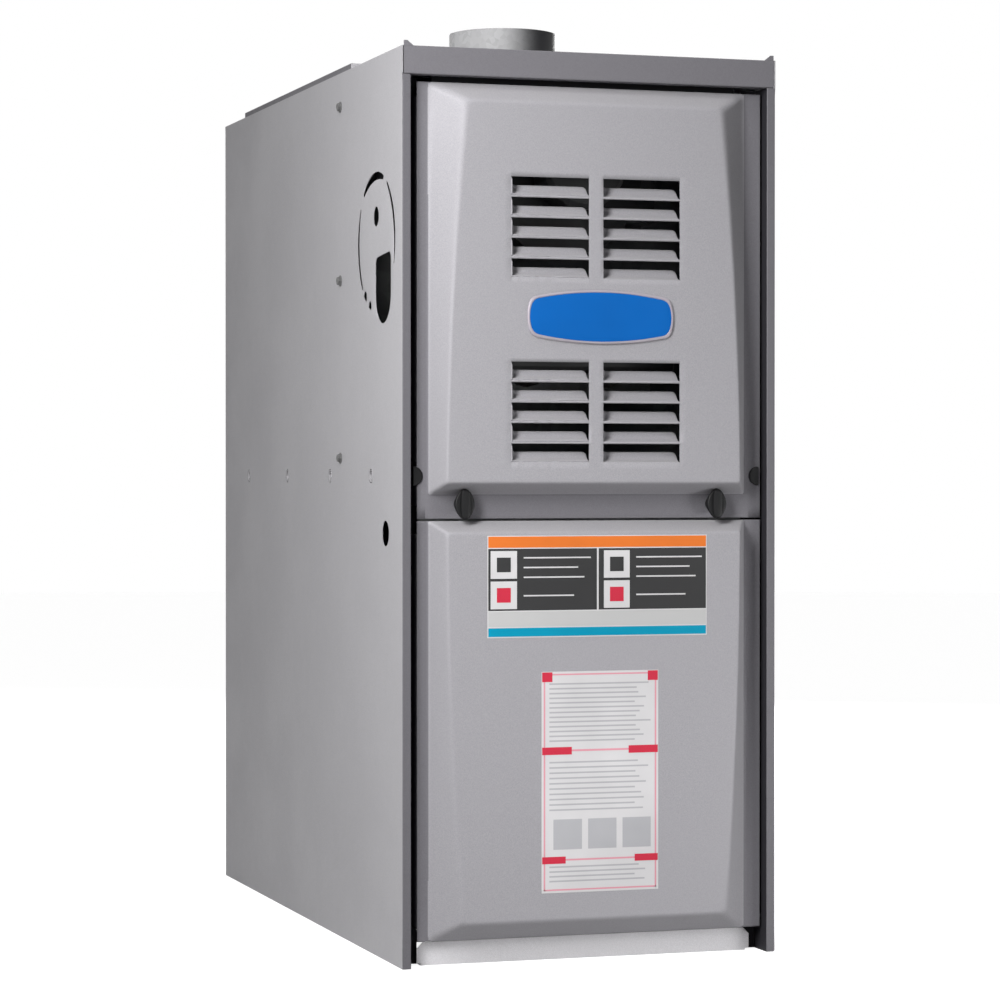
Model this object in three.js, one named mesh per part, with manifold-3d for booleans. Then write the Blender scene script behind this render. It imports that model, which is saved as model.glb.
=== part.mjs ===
// Upflow forced air gas furnace: a folded steel cabinet with a louvred door over the burners and the
// draft inducer, a plain door over the blower, serpentine heat exchanger tubes behind the burners, a
// flue collar on top, and duct openings in the top (supply) and the base (return).
// Millimetres, +Z up. The doors face -Y, and the origin is the middle of the footprint on the floor.

import * as THREE from 'three';
import { ConvexGeometry } from 'three/addons/geometries/ConvexGeometry.js';
import { mergeVertices } from 'three/addons/utils/BufferGeometryUtils.js';
import Module from 'manifold-3d';

const wasm = await Module();
wasm.setup();

// ---------------------------------------------------------------- Driving dimensions

const SHEET = 1.2; // steel of the cabinet, the doors and the brackets
const FIT = 0.3; // gap between pieces that touch

// Cabinet
const CABINET_WIDTH = 368;
const CABINET_DEPTH = 724;
const CABINET_HEIGHT = 846;
const POST_FACE = 8.5; // front edge of a side panel, folded inwards
const STOP_DEPTH = 31; // from the cabinet front to the flanges that the doors close against
const STOP_WIDTH = 14;
const BACK_FLANGE = 12;
const PANEL_FLANGE = 13; // edges of inner panels, turned for their screws
const TOP_RAIL_HEIGHT = 29;
const TOP_RAIL_DEPTH = 20;
const TOP_RAIL_LIP = 12;
const TOP_RAIL_EAR = 5; // small upright ear at each end of the top rail
const BASE_RAIL_HEIGHT = 21.5;
const BASE_RAIL_WIDTH = 330;
const BASE_RAIL_RECESS = 19; // behind the cabinet front
const BASE_RAIL_CHAMFER = 6;
const RETURN_OPENING_WIDTH = 300;
const RETURN_OPENING_FRONT = 90; // from the base rail to the opening
const RETURN_OPENING_BACK = 30; // from the opening to the back

// Top: supply opening and flue collar
const SUPPLY_START = 245; // from the cabinet front to the supply opening
const SUPPLY_INSET = 18; // duct flanges stand this far inside the cabinet sides
const SUPPLY_BACK_INSET = 21;
const SUPPLY_FLANGE_HEIGHT = 14;
const FLUE_RADIUS = 51.5;
const FLUE_HEIGHT = 30.5; // above the cabinet top
const FLUE_BELOW = 6; // end of the collar below the top panel
const FLUE_FLANGE = 10;
const FLUE_X = -48;

// Doors
const DOOR_SIDE_GAP = 5.5; // from a post to the door
const DOOR_RECESS = 11; // flat flange behind the cabinet front
const DOOR_PROUD = 11; // raised field in front of the cabinet front
const DOOR_STOP_GAP = 0.8;
const DOOR_TOP_GAP = 6; // below the top rail
const DOOR_BOTTOM = 23; // above the floor
const SEAM_DROP = 40.5; // joint of the two doors, below the blower deck
const SEAM_GAP = 2;
const LEDGE_HEIGHT = 22.5; // flat strip of the upper door that carries the knobs
const PAN_INSET = 13.75; // from the door's edge to the foot of the bevel
const BEVEL_RUN = 11.75; // across the bevel where the field is widest, at the ledge
const SEAM_BEVEL = 10.5;
const END_BEVEL = 17;
const UPPER_ARC_RADIUS = 3680; // sides of the upper field
const LOWER_ARC_RADIUS = 5000;
const ARC_STEPS = 12;
const CORNER_NOTCH = 12; // side returns stop short of the door's corners
const TONGUE_INSET = 20; // from the door's edge to the lip that hangs or stands it in the cabinet
const TONGUE_HEIGHT = 13;
const HINGE_INSET = 3; // tilting axis, in from the door's end
const FLANGE_HOLE_RADIUS = 6.5;
const FLANGE_HOLE_INSET = 4.5; // from the door's side edge
const FLANGE_HOLE_HEIGHT = 17; // above the ledge

// Louvres
const LOUVRE_COLUMNS = 2;
const LOUVRE_ROWS = 5;
const LOUVRE_WIDTH = 76;
const LOUVRE_COLUMN_PITCH = 90;
const LOUVRE_PITCH_SHARE = 0.05423; // of the field's height
const LOUVRE_STRIP = 2; // sheet left between two blades
const LOUVRE_DEPTH = 10;
const LOUVRE_MOUTH = 7.4; // open height above a blade's free edge
const LOUVRE_END = 8; // rounded end of a blade
const LOUVRE_CURVE_STEPS = 2;
const LOUVRE_GROUP_SHARES = [0.1894, 0.6786]; // from the field's top to each group

// Knobs and latches
const KNOB_INSET = 45.6; // from the door's edge
const KNOB_HEIGHT = 14.5; // above the upper door's lower edge
const KNOB_WIDTH = 19;
const KNOB_LENGTH = 31;
const KNOB_DEPTH = 21.2;
const KNOB_RIM = 5;
const KNOB_WING = 10; // thickness of the grip
const KNOB_FOOT_RADIUS = 7.7;
const SHANK_RADIUS = 4;
const LATCH_ARM_LENGTH = 26;
const LATCH_ARM_WIDTH = 12;
const LATCH_ARM_THICKNESS = 2;
const LATCH_DEPTH = 2.5; // from the back of the ledge to the arm
const CATCH_START = 15.6; // from the knob's axis to the catch
const CATCH_WIDTH = 18;
const CATCH_HEIGHT = 17;
const LATCH_RAIL_DROP = 16.5; // below the seam
const LATCH_RAIL_DEPTH = 18;

// Left and right side openings
const KNOCKOUT_RADIUS = 66;
const KNOCKOUT_FROM_FRONT = 89.5;
const KNOCKOUT_RISE = 44.5; // above the gas line
const KNOCKOUT_SLOT = 2;
const KNOCKOUT_BRIDGE = 9; // degrees of sheet left between the slots
const KNOCKOUT_SLOTS = 4;
const KNOCKOUT_HOLE_RADIUS = 9.5;
const KNOCKOUT_HOLE_RISE = 24;
const GAS_OPENING_WIDTH = 54;
const GAS_OPENING_HEIGHT = 66;
const GAS_OPENING_FROM_FRONT = 65.5;
const GAS_LINE_RISE = 67.5; // above the burners
const CABLE_HOLE_RADIUS = 12;
const CABLE_HOLE_FROM_FRONT = 57;
const CABLE_HOLE_HEIGHT = 398.5;
const DIMPLE_RADIUS = 4;
const DIMPLE_DEPTH = 0.6;
const DIMPLE_SPOTS = [0.15, 0.36, 0.6, 0.84]; // along the blower deck, as shares of the depth

// Inner panels
const DECK_HEIGHT = 452;
const DECK_START = 33; // front edge behind the cabinet front
const VESTIBULE_DEPTH = 219; // from the cabinet front to the vestibule panel
const INSULATION = 8;

// Heat exchanger
const TUBE_COUNT = 3;
const TUBE_PITCH = 85;
const TUBE_SHARE = 0.339; // radius, as a share of the pitch of the passes
const TUBE_WALL = 1.4;
const TUBE_PASSES = 4;
const PASS_SHARE = 0.158; // pitch of the passes, as a share of the height over the deck
const BURNER_SHARE = 0.2751; // burners and first pass, as a share of the same height
const TUBE_REACH = 428; // from the vestibule panel to the middle of the rear bends
const TUBE_FRONT_BEND = 62; // from the vestibule panel to the middle of the front bends
const TUBE_LIP = 2; // tube ends stand out of the vestibule panel
const BEND_STEPS = 4;
const TUBE_SIDES = 8;

// Collector box and draft inducer
const COLLECTOR_WIDTH = 240;
const COLLECTOR_HEIGHT = 88;
const COLLECTOR_DEPTH = 64;
const COLLECTOR_RIM = 9;
const INDUCER_OFFSET = 57; // from the flue axis to the inducer axis
const INDUCER_DEPTH = 62;
const INDUCER_WALL = 2;
const INDUCER_START_RADIUS = 62;
const INDUCER_END_RADIUS = 93;
const INDUCER_OUTLET_WIDTH = 72;
const INDUCER_OUTLET_RISE = 72;
const INDUCER_INLET_RADIUS = 38;
const INDUCER_WHEEL_RADIUS = 55;
const INDUCER_WHEEL_DEPTH = 38;
const INDUCER_BLADES = 10;
const INDUCER_SHAFT_RADIUS = 4;
const INDUCER_MOTOR_RADIUS = 42;
const INDUCER_MOTOR_LENGTH = 54;
const ADAPTER_INLET_RADIUS = 34;
const ADAPTER_RIM = 7;
const ADAPTER_LAP = 12; // inside the collar, above the top panel

// Burners and gas train
const BURNER_MOUTH_RADIUS = 17;
const BURNER_THROAT_RADIUS = 11;
const RACK_DEPTH = 22;
const RACK_HEIGHT = 64;
const RACK_WIDTH = 262;
const MANIFOLD_RADIUS = 10.7;
const MANIFOLD_GAP = 19; // from the burner mouths to the pipe
const MANIFOLD_END = 27; // past the last burner
const MANIFOLD_CAP_LENGTH = 10;
const MANIFOLD_CAP_WALL = 2;
const ORIFICE_RADIUS = 5;
const ORIFICE_REACH = 17;
const VALVE_WIDTH = 60;
const VALVE_DEPTH = 68;
const VALVE_HEIGHT = 86;
const VALVE_X = -127;
const VALVE_PORT_RADIUS = 14;
const VALVE_PORT_LENGTH = 12;
const COCK_RADIUS = 13;
const COCK_HEIGHT = 13;

// Switches on the vestibule panel
const SWITCH_RADIUS = 12;
const SWITCH_DEPTH = 12;
const PROBE_RADIUS = 3;
const PROBE_LENGTH = 40;
const RESET_RADIUS = 3;
const RESET_TRAVEL = 1.5;
const ROLLOUT_RISE = 58; // above the burners
const PRESSURE_RADIUS = 32;
const PRESSURE_THICKNESS = 24;
const PRESSURE_DROP = 82.5; // below the top panel
const PRESSURE_FROM_FRONT = 112;
const HOSE_RADIUS = 3.5;

// Blower
const BLOWER_WIDTH = 230;
const BLOWER_FROM_FRONT = 422;
const BLOWER_HEIGHT = 215;
const SCROLL_START_RADIUS = 132;
const SCROLL_END_RADIUS = 190;
const SCROLL_CUTOFF = 25; // degrees behind the top where the scroll starts
const SCROLL_STEPS = 20;
const SIDE_PLATE_LAP = 5; // side plates reach past the scroll strip
const INLET_RADIUS = 105;
const INLET_THROAT_RADIUS = 98;
const INLET_DEPTH = 13;
const WHEEL_RADIUS = 120;
const WHEEL_INNER_RADIUS = 101;
const WHEEL_LENGTH = 196;
const WHEEL_RING = 3;
const WHEEL_DISC = 2;
const BLADE_COUNT = 30;
const BLADE_THICKNESS = 1.1;
const BLADE_SWEEP = 9.5; // degrees that a blade leans forward
const BLADE_STEPS = 2;
const HUB_RADIUS = 15;
const HUB_LENGTH = 30;
const BLOWER_SHAFT_RADIUS = 6.35;
const BLOWER_MOTOR_RADIUS = 62;
const BLOWER_MOTOR_LENGTH = 108;
const BLOWER_MOTOR_START = 24; // from the wheel's middle disc
const MOTOR_BAND_WIDTH = 18;
const MOTOR_ARMS = 3;
const MOTOR_ARM_WIDTH = 22;
const MOTOR_ARM_THICKNESS = 2;
const MOTOR_ARM_REACH = 122;
const CAPACITOR_WIDTH = 48;
const CAPACITOR_DEPTH = 30;
const CAPACITOR_HEIGHT = 72;

// Controls
const CONTROL_FROM_FRONT = 147;
const CONTROL_WIDTH = 132;
const CONTROL_HEIGHT = 150;
const CONTROL_X = -85;
const BOARD_WIDTH = 112;
const BOARD_HEIGHT = 98;
const BOARD_THICKNESS = 1.6;
const RELAY_COUNT = 3;
const RELAY_PITCH = 24;
const RELAY_SIZE = [19, 24]; // width and height
const RELAY_DEPTH = 16;
const TERMINAL_SIZE = [64, 10];
const PLUG_SIZE = [12, 44];
const FUSE_SIZE = [16, 8];
const CHIP_SIZE = [22, 16];
const CONNECTOR_DEPTH = 12;
const CHIP_DEPTH = 4;
const BOARD_MARGIN = 6; // from the board's edge to its standoffs and parts
const STANDOFF_LENGTH = 8;
const STANDOFF_RADIUS = 3;
const TRANSFORMER_X = 58;
const TRANSFORMER_WIDTH = 66;
const TRANSFORMER_DEPTH = 46;
const TRANSFORMER_HEIGHT = 56;
const DOOR_SWITCH_X = 60;
const DOOR_SWITCH_SIZE = 24;
const DOOR_SWITCH_DEPTH = 30;
const PLUNGER_RADIUS = 4;

// ---------------------------------------------------------------- Planes worked out from them

const RIGHT = CABINET_WIDTH / 2; // outer face of the right panel
const FRONT = -CABINET_DEPTH / 2;
const BACK = CABINET_DEPTH / 2;
const INSIDE = RIGHT - SHEET - FIT; // half width of what fits between the side panels
const STOP = FRONT + STOP_DEPTH;
const STOP_EDGE = RIGHT - POST_FACE - STOP_WIDTH;
const TOP_PLATE = CABINET_HEIGHT - SHEET - FIT; // top face of the top panel
const SUPPLY_FRONT = FRONT + SUPPLY_START;
const VESTIBULE = FRONT + VESTIBULE_DEPTH; // front face of the vestibule panel
const BACK_PANEL = BACK - SHEET - FIT; // rear face of the back panel
const LINER_BACK = BACK_PANEL - SHEET - FIT;
const DOOR_EDGE = RIGHT - POST_FACE - DOOR_SIDE_GAP;
const PAN_EDGE = DOOR_EDGE - PAN_INSET;
const FIELD_EDGE = PAN_EDGE - BEVEL_RUN;
const KNOB_X = DOOR_EDGE - KNOB_INSET;
const FLANGE_PLANE = FRONT + DOOR_RECESS; // front face of a door's flat flange
const FIELD_PLANE = FRONT - DOOR_PROUD; // front face of a door's raised field
const BASE_RAIL = FRONT + BASE_RAIL_RECESS;
const TONGUE_PLANE = BASE_RAIL + SHEET + FIT;
const SEAM_HEIGHT = DECK_HEIGHT - SEAM_DROP;
const LATCH_RAIL_BOTTOM = SEAM_HEIGHT - LATCH_RAIL_DROP;

const UPPER_DOOR_TOP = CABINET_HEIGHT - TOP_RAIL_HEIGHT - DOOR_TOP_GAP;
const UPPER_DOOR_BOTTOM = SEAM_HEIGHT + SEAM_GAP / 2;
const LOWER_DOOR_TOP = SEAM_HEIGHT - SEAM_GAP / 2;
const KNOB_Z = UPPER_DOOR_BOTTOM + KNOB_HEIGHT;
const FIELD_BOTTOM = UPPER_DOOR_BOTTOM + LEDGE_HEIGHT + SEAM_BEVEL;
const FIELD_TOP = UPPER_DOOR_TOP - END_BEVEL;
const LOUVRE_PITCH = LOUVRE_PITCH_SHARE * (FIELD_TOP - FIELD_BOTTOM);
const LOUVRE_HEIGHT = LOUVRE_PITCH - LOUVRE_STRIP;
const LOUVRE_RISE = LOUVRE_HEIGHT - LOUVRE_MOUTH; // height of a blade's free edge above its root

const EXCHANGER_ROOM = TOP_PLATE - DECK_HEIGHT;
const BURNER_HEIGHT = DECK_HEIGHT + BURNER_SHARE * EXCHANGER_ROOM;
const PASS_PITCH = PASS_SHARE * EXCHANGER_ROOM;
const TUBE_RADIUS = TUBE_SHARE * PASS_PITCH;
const TOP_PASS = BURNER_HEIGHT + (TUBE_PASSES - 1) * PASS_PITCH;
const GAS_LINE_HEIGHT = BURNER_HEIGHT + GAS_LINE_RISE;
const KNOCKOUT_HEIGHT = GAS_LINE_HEIGHT + KNOCKOUT_RISE;
const LIMIT_SWITCH_HEIGHT = BURNER_HEIGHT + 1.5 * PASS_PITCH;
const ROLLOUT_SWITCH_HEIGHT = BURNER_HEIGHT + ROLLOUT_RISE;
const PRESSURE_HEIGHT = TOP_PLATE - PRESSURE_DROP;
const COLLECTOR_FRONT = VESTIBULE - FIT - COLLECTOR_DEPTH;
const INDUCER_BACK = COLLECTOR_FRONT - FIT;
const INDUCER_FRONT = INDUCER_BACK - INDUCER_DEPTH;
const FLUE_Y = (INDUCER_BACK + INDUCER_FRONT) / 2;
const INDUCER_X = FLUE_X + INDUCER_OFFSET;
const RACK_FRONT = VESTIBULE - RACK_DEPTH;
const GAS_LINE_Y = FRONT + GAS_OPENING_FROM_FRONT;
const BURNER_BACK = RACK_FRONT + SHEET + 4;
const BURNER_FRONT = GAS_LINE_Y + MANIFOLD_GAP;
const BLOWER_Y = FRONT + BLOWER_FROM_FRONT;
const DECK_UNDERSIDE = DECK_HEIGHT - SHEET;
const CONTROL_Y = FRONT + CONTROL_FROM_FRONT;

// ---------------------------------------------------------------- Shape helpers

// A closed three.js geometry as a solid that can be joined and cut.
function solid(geometry) {
  const bare = new THREE.BufferGeometry();
  bare.setAttribute('position', geometry.getAttribute('position'));
  bare.setIndex(geometry.index);
  const merged = mergeVertices(bare, 1e-4);
  const corners = merged.index.array;
  const kept = [];
  for (let i = 0; i < corners.length; i += 3) {
    const [a, b, c] = corners.slice(i, i + 3);
    if (a !== b && b !== c && c !== a) kept.push(a, b, c);
  }
  return new wasm.Manifold(new wasm.Mesh({
    numProp: 3,
    vertProperties: merged.attributes.position.array,
    triVerts: new Uint32Array(kept),
  }));
}

function geometryOf(shape) {
  const { vertProperties, triVerts } = shape.getMesh();
  const geometry = new THREE.BufferGeometry();
  geometry.setAttribute('position', new THREE.BufferAttribute(vertProperties, 3));
  geometry.setIndex(new THREE.BufferAttribute(triVerts, 1));
  const faceted = geometry.toNonIndexed();
  faceted.computeVertexNormals();
  return faceted;
}

const join = (...shapes) => shapes.flat().reduce((whole, shape) => whole.add(shape));
const cut = (shape, ...tools) => tools.flat().reduce((rest, tool) => rest.subtract(tool), shape);
const range = (count) => Array.from({ length: count }, (_, i) => i);
const degrees = THREE.MathUtils.degToRad;
const lerp = THREE.MathUtils.lerp;

function block([x0, x1], [y0, y1], [z0, z1]) {
  const geometry = new THREE.BoxGeometry(x1 - x0, y1 - y0, z1 - z0);
  return solid(geometry.translate((x0 + x1) / 2, (y0 + y1) / 2, (z0 + z1) / 2));
}

const X = new THREE.Vector3(1, 0, 0);
const Y = new THREE.Vector3(0, 1, 0);
const Z = new THREE.Vector3(0, 0, 1);

// An outline pushed along an axis. Its points are (y, z) along x, (x, z) along y and (x, y) along z.
function prism(axis, outline, [from, to], ...holes) {
  const shape = new THREE.Shape(outline.map(([a, b]) => new THREE.Vector2(a, b)));
  shape.holes = holes.map((hole) => new THREE.Path(hole.map(([a, b]) => new THREE.Vector2(a, b))));
  const geometry = new THREE.ExtrudeGeometry(shape, { depth: to - from, bevelEnabled: false });
  const turn = new THREE.Matrix4();
  if (axis === 'x') turn.makeBasis(Y, Z, X).setPosition(from, 0, 0);
  if (axis === 'y') turn.makeBasis(X, Z, Y.clone().negate()).setPosition(0, to, 0);
  if (axis === 'z') turn.setPosition(0, 0, from);
  return solid(geometry.applyMatrix4(turn));
}

// Points of a circle, or of an arc when it is given two angles, in degrees from the first axis.
function circle(a, b, radius, sides, start = 0, end = 360) {
  const last = end - start === 360 ? 0 : 1;
  return range(sides + last).map((i) => {
    const angle = degrees(lerp(start, end, i / sides));
    return [a + radius * Math.cos(angle), b + radius * Math.sin(angle)];
  });
}

// A round bar or hole along an axis, placed by the two other coordinates.
const bar = (axis, [a, b], radius, span, sides = 24) => prism(axis, circle(a, b, radius, sides), span);

// A profile of (radius, distance) points turned about an axis through the centre.
function turned(axis, profile, centre, sides = 24) {
  const points = profile.map(([radius, along]) => new THREE.Vector2(radius, along));
  if (THREE.ShapeUtils.area(points) < 0) points.reverse();
  const ends = [points[0], points[points.length - 1]];
  if (ends.some((point) => point.x > 0)) points.push(points[0].clone());
  const geometry = new THREE.LatheGeometry(points, sides);
  if (axis === 'x') geometry.rotateZ(-Math.PI / 2);
  if (axis === 'z') geometry.rotateX(Math.PI / 2);
  return solid(geometry.translate(...centre));
}

const hull = (points) => solid(new ConvexGeometry(points.map((point) => new THREE.Vector3(...point))));

// Section of a folded sheet: the path is one face, and the other lies to its left.
function folded(path, thickness = SHEET) {
  const points = path.map(([a, b]) => new THREE.Vector2(a, b));
  const leftOf = (from, to) => {
    const along = to.clone().sub(from).normalize();
    return new THREE.Vector2(-along.y, along.x);
  };
  const offset = points.map((point, i) => {
    const before = i > 0 ? leftOf(points[i - 1], point) : leftOf(point, points[i + 1]);
    const after = i < points.length - 1 ? leftOf(point, points[i + 1]) : before;
    const mitre = before.clone().add(after).multiplyScalar(thickness / (1 + before.dot(after)));
    return [point.x + mitre.x, point.y + mitre.y];
  });
  return [...path, ...offset.reverse()];
}

// A curve through given stations, with one ring of the swept tube at each.
class StationCurve extends THREE.Curve {
  constructor(stations) {
    super();
    this.stations = stations;
  }

  getUtoTmapping(u) {
    return u;
  }

  getPoint(t, target = new THREE.Vector3()) {
    const place = t * (this.stations.length - 1);
    const index = Math.min(Math.floor(place), this.stations.length - 2);
    return target.lerpVectors(this.stations[index], this.stations[index + 1], place - index);
  }

  getTangent(t, target = new THREE.Vector3()) {
    const index = Math.round(t * (this.stations.length - 1));
    const here = this.stations[index];
    const before = this.stations[index - 1];
    const after = this.stations[index + 1];
    target.set(0, 0, 0);
    if (before) target.add(here.clone().sub(before).normalize());
    if (after) target.add(after.clone().sub(here).normalize());
    return target.normalize();
  }
}

// A round tube swept through stations, hollow when it has a bore.
function tube(stations, radius, bore, sides) {
  const ring = (size) => circle(0, 0, size, sides).map(([a, b]) => new THREE.Vector2(a, b));
  const section = new THREE.Shape(ring(radius));
  if (bore > 0) section.holes = [new THREE.Path(ring(bore))];
  const path = new StationCurve(stations);
  return solid(new THREE.ExtrudeGeometry(section, { steps: stations.length - 1, extrudePath: path }));
}

// ---------------------------------------------------------------- Cabinet

function knockout(side) {
  const y = FRONT + KNOCKOUT_FROM_FRONT;
  const wall = [side * RIGHT - 2 * SHEET, side * RIGHT + 2 * SHEET];
  const step = 360 / KNOCKOUT_SLOTS;
  const slots = range(KNOCKOUT_SLOTS).map((i) => {
    const start = i * step + KNOCKOUT_BRIDGE / 2;
    const end = (i + 1) * step - KNOCKOUT_BRIDGE / 2;
    const outer = circle(y, KNOCKOUT_HEIGHT, KNOCKOUT_RADIUS, 6, start, end);
    const inner = circle(y, KNOCKOUT_HEIGHT, KNOCKOUT_RADIUS - KNOCKOUT_SLOT, 6, start, end);
    return prism('x', [...outer, ...inner.reverse()], wall);
  });
  const centre = [y, KNOCKOUT_HEIGHT + KNOCKOUT_HOLE_RISE];
  return [...slots, bar('x', centre, KNOCKOUT_HOLE_RADIUS, wall, 14)];
}

function gasOpening(side) {
  const wall = [side * RIGHT - 2 * SHEET, side * RIGHT + 2 * SHEET];
  const y = FRONT + GAS_OPENING_FROM_FRONT;
  const radius = GAS_OPENING_WIDTH / 2;
  const rise = GAS_OPENING_HEIGHT / 2 - radius;
  const top = circle(y, GAS_LINE_HEIGHT + rise, radius, 9, 0, 180);
  const bottom = circle(y, GAS_LINE_HEIGHT - rise, radius, 9, 180, 360);
  return prism('x', [...top, ...bottom], wall);
}

function deckDimples(side) {
  const face = side * RIGHT;
  const reach = [face - DIMPLE_DEPTH, face + DIMPLE_DEPTH];
  return DIMPLE_SPOTS.map((share) => (
    bar('x', [FRONT + share * CABINET_DEPTH, DECK_HEIGHT], DIMPLE_RADIUS, reach, 8)
  ));
}

function sidePanel(side) {
  const section = folded([
    [-RIGHT + BACK_FLANGE, BACK],
    [-RIGHT, BACK],
    [-RIGHT, FRONT],
    [-RIGHT + POST_FACE, FRONT],
    [-RIGHT + POST_FACE, STOP],
    [-STOP_EDGE, STOP],
  ]);
  const panel = prism('z', section.map(([x, y]) => [-side * x, y]), [0, CABINET_HEIGHT]);
  const postTop = CABINET_HEIGHT - TOP_RAIL_HEIGHT - FIT;
  const width = [INSIDE + FIT, STOP_EDGE - 1].map((x) => side * x).sort((a, b) => a - b);
  const railSpace = block(width, [FRONT - 1, STOP + 2 * SHEET], [postTop, CABINET_HEIGHT + 1]);
  const wall = [side * RIGHT - 2 * SHEET, side * RIGHT + 2 * SHEET];
  const cable = bar('x', [FRONT + CABLE_HOLE_FROM_FRONT, CABLE_HOLE_HEIGHT], CABLE_HOLE_RADIUS, wall, 16);
  return cut(panel, railSpace, knockout(side), gasOpening(side), cable, deckDimples(side));
}

function backPanel() {
  return block([-INSIDE, INSIDE], [BACK_PANEL - SHEET, BACK_PANEL], [0, TOP_PLATE]);
}

function topRail() {
  const bottom = CABINET_HEIGHT - TOP_RAIL_HEIGHT;
  const section = folded([
    [FRONT + TOP_RAIL_DEPTH, CABINET_HEIGHT],
    [FRONT, CABINET_HEIGHT],
    [FRONT, bottom],
    [FRONT + TOP_RAIL_LIP, bottom],
  ]);
  const rail = prism('x', section, [-INSIDE, INSIDE]);
  const ears = [-1, 1].map((side) => {
    const edge = side * INSIDE;
    const top = CABINET_HEIGHT + TOP_RAIL_EAR;
    const outline = [
      [edge, CABINET_HEIGHT - 1],
      [edge - side * 2 * TOP_RAIL_EAR, CABINET_HEIGHT - 1],
      [edge - side * TOP_RAIL_EAR, top],
      [edge, top],
    ];
    return prism('y', outline, [FRONT, FRONT + SHEET]);
  });
  return join(rail, ears);
}

function topPanel() {
  const flangeTop = CABINET_HEIGHT + SUPPLY_FLANGE_HEIGHT;
  const section = folded([
    [SUPPLY_FRONT, flangeTop],
    [SUPPLY_FRONT, TOP_PLATE],
    [FRONT + TOP_RAIL_LIP, TOP_PLATE],
  ]);
  const plate = prism('x', section, [-INSIDE, INSIDE]);
  const flanges = [-1, 1].map((side) => {
    const across = [side * INSIDE, side * (INSIDE - SHEET)].sort((a, b) => a - b);
    const depth = [FRONT + TOP_RAIL_DEPTH, VESTIBULE - PANEL_FLANGE - FIT];
    return block(across, depth, [TOP_PLATE - PANEL_FLANGE, TOP_PLATE]);
  });
  const corners = [-1, 1].map((side) => {
    const across = [side * (RIGHT + 1), side * (RIGHT - SUPPLY_INSET)].sort((a, b) => a - b);
    return block(across, [SUPPLY_FRONT - 1, SUPPLY_FRONT + 2 * SHEET], [TOP_PLATE, flangeTop + 1]);
  });
  const flue = bar('z', [FLUE_X, FLUE_Y], FLUE_RADIUS + FIT, [TOP_PLATE - 3, TOP_PLATE + 3], 28);
  return cut(join(plate, flanges), corners, flue);
}

function supplyFlangeSide(side) {
  const section = folded([
    [-RIGHT + SUPPLY_INSET, CABINET_HEIGHT + SUPPLY_FLANGE_HEIGHT],
    [-RIGHT + SUPPLY_INSET, CABINET_HEIGHT],
    [-INSIDE, CABINET_HEIGHT],
    [-INSIDE, CABINET_HEIGHT - PANEL_FLANGE],
  ]);
  const span = [SUPPLY_FRONT + SHEET + FIT, LINER_BACK];
  const flange = prism('y', section.map(([x, z]) => [-side * x, z]), span);
  const corner = block([-RIGHT, RIGHT], [BACK - SUPPLY_BACK_INSET, BACK], [CABINET_HEIGHT, CABINET_HEIGHT * 2]);
  return cut(flange, corner);
}

function supplyFlangeBack() {
  const y = BACK - SUPPLY_BACK_INSET;
  const section = folded([
    [LINER_BACK, CABINET_HEIGHT - PANEL_FLANGE],
    [LINER_BACK, CABINET_HEIGHT],
    [y, CABINET_HEIGHT],
    [y, CABINET_HEIGHT + SUPPLY_FLANGE_HEIGHT],
  ]);
  const reach = RIGHT - SUPPLY_INSET - SHEET - FIT;
  return prism('x', section, [-reach, reach]);
}

function flueCollar() {
  const inner = FLUE_RADIUS - SHEET;
  const seat = TOP_PLATE + FIT;
  const top = CABINET_HEIGHT + FLUE_HEIGHT;
  const profile = [
    [inner, TOP_PLATE - SHEET - FLUE_BELOW],
    [FLUE_RADIUS, TOP_PLATE - SHEET - FLUE_BELOW],
    [FLUE_RADIUS, seat],
    [FLUE_RADIUS + FLUE_FLANGE, seat],
    [FLUE_RADIUS + FLUE_FLANGE, seat + SHEET],
    [FLUE_RADIUS, seat + SHEET],
    [FLUE_RADIUS, top],
    [inner, top],
  ];
  return turned('z', profile, [FLUE_X, FLUE_Y, 0], 28);
}

function basePan() {
  const floor = block([-INSIDE, INSIDE], [BASE_RAIL, LINER_BACK], [0, SHEET]);
  const half = RETURN_OPENING_WIDTH / 2;
  const opening = block([-half, half], [BASE_RAIL + RETURN_OPENING_FRONT, LINER_BACK - RETURN_OPENING_BACK], [-1, 3]);
  const edge = BASE_RAIL_WIDTH / 2;
  const rail = prism('y', [
    [-edge, 0],
    [edge, 0],
    [edge, BASE_RAIL_HEIGHT - BASE_RAIL_CHAMFER],
    [edge - BASE_RAIL_CHAMFER, BASE_RAIL_HEIGHT],
    [-edge + BASE_RAIL_CHAMFER, BASE_RAIL_HEIGHT],
    [-edge, BASE_RAIL_HEIGHT - BASE_RAIL_CHAMFER],
  ], [BASE_RAIL, BASE_RAIL + SHEET]);
  const sides = [-1, 1].map((side) => {
    const across = [side * INSIDE, side * (INSIDE - SHEET)].sort((a, b) => a - b);
    return block(across, [STOP + SHEET + FIT, LINER_BACK], [0, BASE_RAIL_HEIGHT]);
  });
  const back = block([-INSIDE, INSIDE], [LINER_BACK - SHEET, LINER_BACK], [0, BASE_RAIL_HEIGHT]);
  const postSpaces = [-1, 1].map((side) => {
    const across = [side * (RIGHT + 1), side * (STOP_EDGE - FIT)].sort((a, b) => a - b);
    return block(across, [BASE_RAIL - 1, STOP + SHEET + FIT], [-1, SHEET + 1]);
  });
  return join(cut(floor, opening, postSpaces), cut(rail, postSpaces), sides, back);
}

// ---------------------------------------------------------------- Doors

// Half the field's width at a height: an arc that is widest at the ledge between the doors.
function fieldHalfWidth(z, radius) {
  const fall = z - (SEAM_HEIGHT + LEDGE_HEIGHT / 2);
  return FIELD_EDGE - (radius - Math.sqrt(radius * radius - fall * fall));
}

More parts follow.
